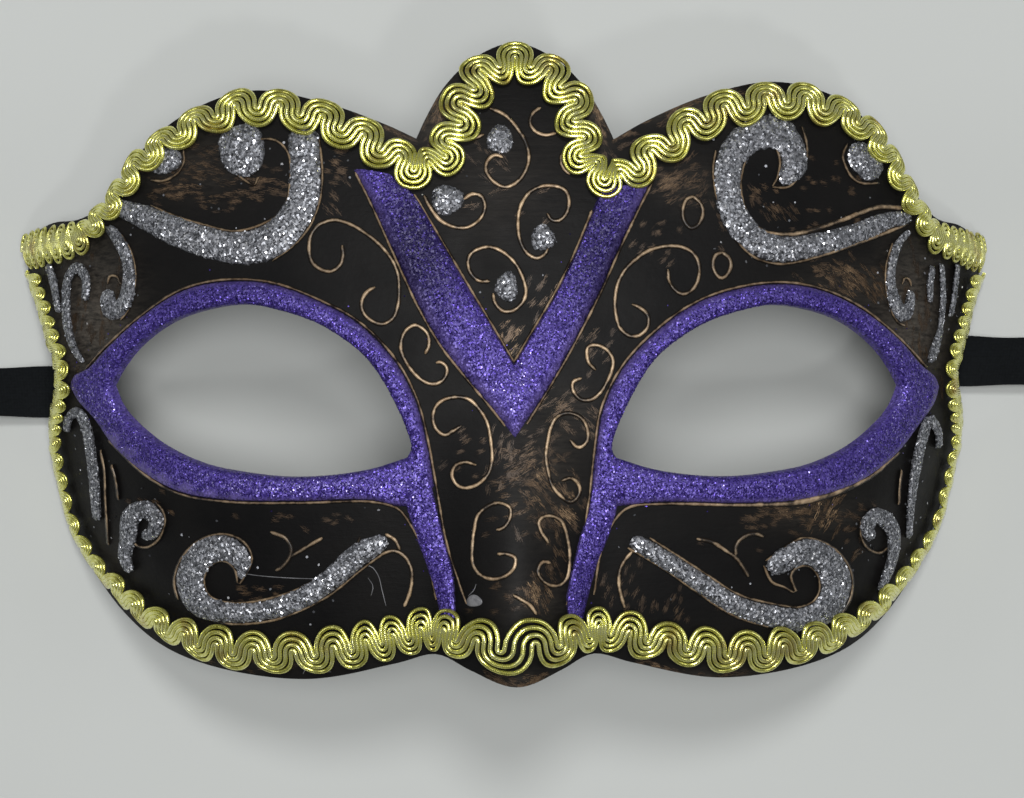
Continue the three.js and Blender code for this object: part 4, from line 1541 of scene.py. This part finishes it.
def goldThread():
    material, tree = newMaterial("goldGimpThread")
    place = objectPlace(tree)
    turns = addMath(tree, "MULTIPLY", attributeValue(tree, "along"), braid["wrapsPerMillimetre"])
    turns = addMath(tree, "ADD", turns, attributeValue(tree, "around"))
    wrap = addMath(tree, "SINE", addMath(tree, "MULTIPLY", turns, 2 * math.pi))
    wrap = addMath(tree, "ADD", addMath(tree, "MULTIPLY", wrap, 0.5), 0.5)
    # painted highlight: glint noise paints bright dashes along the cords, and the leg mark pushes the
    # raised middles of the legs towards the palest, near-white stop
    glint = addNoise(tree, place, 900, 3)
    shade = addMath(tree, "MULTIPLY", wrap, 0.16)
    shade = addMath(tree, "ADD", shade, addMath(tree, "MULTIPLY", glint, 0.6))
    shade = addMath(tree, "ADD", shade, addMath(tree, "MULTIPLY", attributeValue(tree, "leg"), 0.24))
    gold = addRamp(tree, shade, (0.28, (0.27, 0.245, 0.03)), (0.52, (0.76, 0.75, 0.18)),
                   (0.85, (1.0, 1.0, 0.58)))
    # orange-brown tint in patches at random
    orangeTint = addGreys(tree, addNoise(tree, place, 170, 3), (0.55, 0), (0.75, 0.7))
    return finishMaterial(material, {
        "Base Color": addMix(tree, orangeTint, gold, (0.36, 0.22, 0.05)),
        "Normal": addBump(tree, shade, 0.14, 0.0002),
        "Roughness": addGreys(tree, glint, (0.35, 0.32), (0.65, 0.18)),
        "Metallic": 0.84,
        "Coat Weight": 0.5,
        "Coat Roughness": 0.12,
    })


# Rings of points round a line that lies on the face, with its thickness
def cordRings(line, up, thick):
    forward = unit(np.gradient(line, axis=0))
    beside = unit(np.cross(forward, up))
    over = np.cross(beside, forward)
    turns = np.arange(braid["sides"]) / braid["sides"] * 2 * math.pi
    ring = [line - thick[:, None] * (math.cos(turn) * over + math.sin(turn) * beside) for turn in turns]
    return np.stack(ring, axis=1)


# Route of a braid over the face, how far the meander has come at its points, and their shares of
# the pitch and the width, with the lobes on either side of the middle one
def braidCourse(node, halfRoute):
    knots = bothHalves(halfRoute)
    ends = knots[[0, -1], :2] - knots[[1, -2], :2]
    knots[[0, -1], :2] += braid["overhang"] * unit(ends)
    route = splineLine(knots[:, :2], braid["perSpan"])
    run = runLength(onFace(route))
    atKnot = np.arange(len(route)) / braid["perSpan"]
    pitchShare, widthShare = rowsAt(atKnot, np.arange(len(knots)), knots[:, 2:]).T
    for x, y, reach, share in braid["gathers"]:
        pitchShare *= 1 - (1 - share) * np.exp(-((route - (x, y)) ** 2).sum(axis=1) / reach ** 2)
    # one lobe points up near the middle, and both ends stop between lobes
    phase = np.concatenate([[0], np.cumsum(np.diff(run) / pitchShare[1:])])
    phase -= phase[np.argmin(np.abs(route[:, 0] - braid["middles"][node]))]
    step = braid["pitch"] / 2
    leftLobes = round(-phase[0] / step - 0.5)
    rightLobes = round(phase[-1] / step - 0.5)
    leftStretch = -(leftLobes + 0.5) * step / phase[0]
    rightStretch = (rightLobes + 0.5) * step / phase[-1]
    phase *= np.where(phase < 0, leftStretch, rightStretch)
    print("braid", node, "has", leftLobes + 1 + rightLobes, "lobes over", round(run[-1], 1), "mm")
    return route, phase - phase[0], pitchShare, widthShare, leftLobes, rightLobes


# One cord of the meander before it wanders: how far along it runs and how far to the side
def meander(offset, leftLobes, lobes):
    step = braid["pitch"] / 2
    radius = step / 2
    bend = np.linspace(math.pi, 0, braid["perLobe"], endpoint=False)
    forth = np.sign(np.cos(bend)) * np.abs(np.cos(bend)) ** braid["squareness"]
    out = np.sin(bend) ** braid["squareness"]
    outermost = radius + max(braid["offsets"])
    flat = (braid["halfWidth"] - braid["cordRadius"] - braid["innerFoot"]) / outermost
    along = []
    aside = []
    for lobe in range(lobes):
        sign = 1 if (lobe - leftLobes) % 2 == 0 else -1
        reach = radius + sign * offset
        along.append((lobe + 0.5) * step + reach * forth)
        aside.append(sign * (braid["innerFoot"] + flat * reach) * out)
    return np.concatenate(along), np.concatenate(aside)


def makeBraid(name, node, halfRoute, material):
    route, phase, pitchShare, widthShare, leftLobes, rightLobes = braidCourse(node, halfRoute)
    lobes = leftLobes + 1 + rightLobes
    heading = unit(np.gradient(route, axis=0))
    lobeStarts = np.arange(lobes + 1) * braid["pitch"] / 2
    wander = [size * dice.standard_normal(lobes + 1) for size in braid["wander"].values()]
    wander = np.stack(wander, axis=1)
    sides = braid["sides"]
    places = []
    faces = []
    marks = {"along": [], "around": [], "leg": []}
    for offset in braid["offsets"]:
        s, t = meander(offset, leftLobes, lobes)
        s = np.clip(s, 0, phase[-1])
        raised = 1 - (t / braid["halfWidth"]) ** 2
        swell, drift, bob, slant = rowsAt(s, lobeStarts, wander).T
        t = t * (1 + swell) * np.interp(s, phase, widthShare) + drift
        s = np.clip(s + t * slant, 0, phase[-1])
        thick = braid["cordRadius"] * np.sqrt(np.minimum(np.interp(s, phase, pitchShare), 1))
        left = unit(leftOf(rowsAt(s, phase, heading)))
        plan = walkFace(rowsAt(s, phase, route), left, t)
        line = onFace(plan, braid["lift"] + thick + braid["arch"] * raised + bob)
        tube = cordRings(line, faceNormal(*plan.T), thick)
        index = sum(map(len, places)) + np.arange(len(line) * sides).reshape(-1, sides)
        beyond = np.roll(index, -1, axis=1)
        quads = np.stack([index[:-1], beyond[:-1], beyond[1:], index[1:]], axis=-1)
        faces += quads.reshape(-1, 4).tolist()
        faces += [index[0][::-1].tolist(), index[-1].tolist()]
        places.append(tube.reshape(-1, 3))
        marks["along"].append(np.repeat(runLength(line), sides))
        marks["around"].append(np.tile(np.arange(sides) / sides, len(line)))
        # the leg mark carries the painted highlight on the raised legs
        marks["leg"].append(np.repeat(raised, sides))
    trim = addMesh(name, np.concatenate(places), faces)
    for mark, values in marks.items():
        setAttribute(trim, mark, np.concatenate(values))
    cleanUp(trim, braid["smoothAngle"])
    finishPiece(trim, material, node)


goldMaterial = goldThread()
makeBraid("gimpTop", "braid_top", braid["topRoute"], goldMaterial)
makeBraid("gimpBottom", "braid_bottom", braid["bottomRoute"], goldMaterial)

# Pale table and soft light from above
studio = {
    "floorSize": 4.0,
    "floorColour": (0.475, 0.49, 0.475),
    "floorDip": 0.97,
    "worldColour": (0.9, 0.95, 1.0),
    "worldStrength": 0.07,
    # name, place, aim, size, watts
    "lights": [
        ("topPanel", (-0.02, -0.01, 0.8), (0.0, -0.01, 0.0), 0.25, 3.4),
        ("keyLight", (0.0, 0.33, 0.87), (0.0, 0.0, 0.0), 0.2, 3.3),
        ("sideLightLeft", (-0.9, 0.1, 0.7), (0.0, 0.0, 0.0), 0.5, 1.5),
        ("sideLightRight", (0.9, 0.0, 0.7), (0.0, 0.0, 0.0), 0.5, 1.5),
        ("sparkleLight", (0.12, -0.3, 0.8), (0.0, 0.0, 0.0), 0.06, 0.7),
    ],
}


def turnTowards(away):
    away = unit(away)
    right = unit(np.cross((0.0, 1.0, 0.0), away))
    return np.stack([right, np.cross(away, right), away], axis=1)


def makeStudio():
    floor = addPrimitive("paleFloor", bpy.ops.mesh.primitive_plane_add, size=studio["floorSize"])
    material, tree = newMaterial("palePaper")
    tint = addNoise(tree, objectPlace(tree), 9, 3)
    pale = studio["floorColour"]
    low = tuple(studio["floorDip"] * channel for channel in pale)
    colour = addRamp(tree, tint, (0.3, low), (0.7, pale))
    floor.data.materials.append(finishMaterial(material, {"Base Color": colour, "Roughness": 0.8}))
    for name, place, aim, size, watts in studio["lights"]:
        bpy.ops.object.light_add(type="AREA", location=place)
        light = bpy.context.object
        light.name = name
        light.data.shape = "DISK"
        light.data.size = size
        light.data.energy = watts
        turn = turnTowards(np.array(place) - np.array(aim))
        light.rotation_euler = Matrix(turn.tolist()).to_euler()
    world = bpy.data.worlds.new("softRoom")
    world.use_nodes = True
    backdrop = world.node_tree.nodes["Background"]
    backdrop.inputs["Color"].default_value = (*studio["worldColour"], 1.0)
    backdrop.inputs["Strength"].default_value = studio["worldStrength"]
    bpy.context.scene.world = world
    bpy.context.scene.view_settings.view_transform = "Standard"
    print("studio lit")


makeStudio()
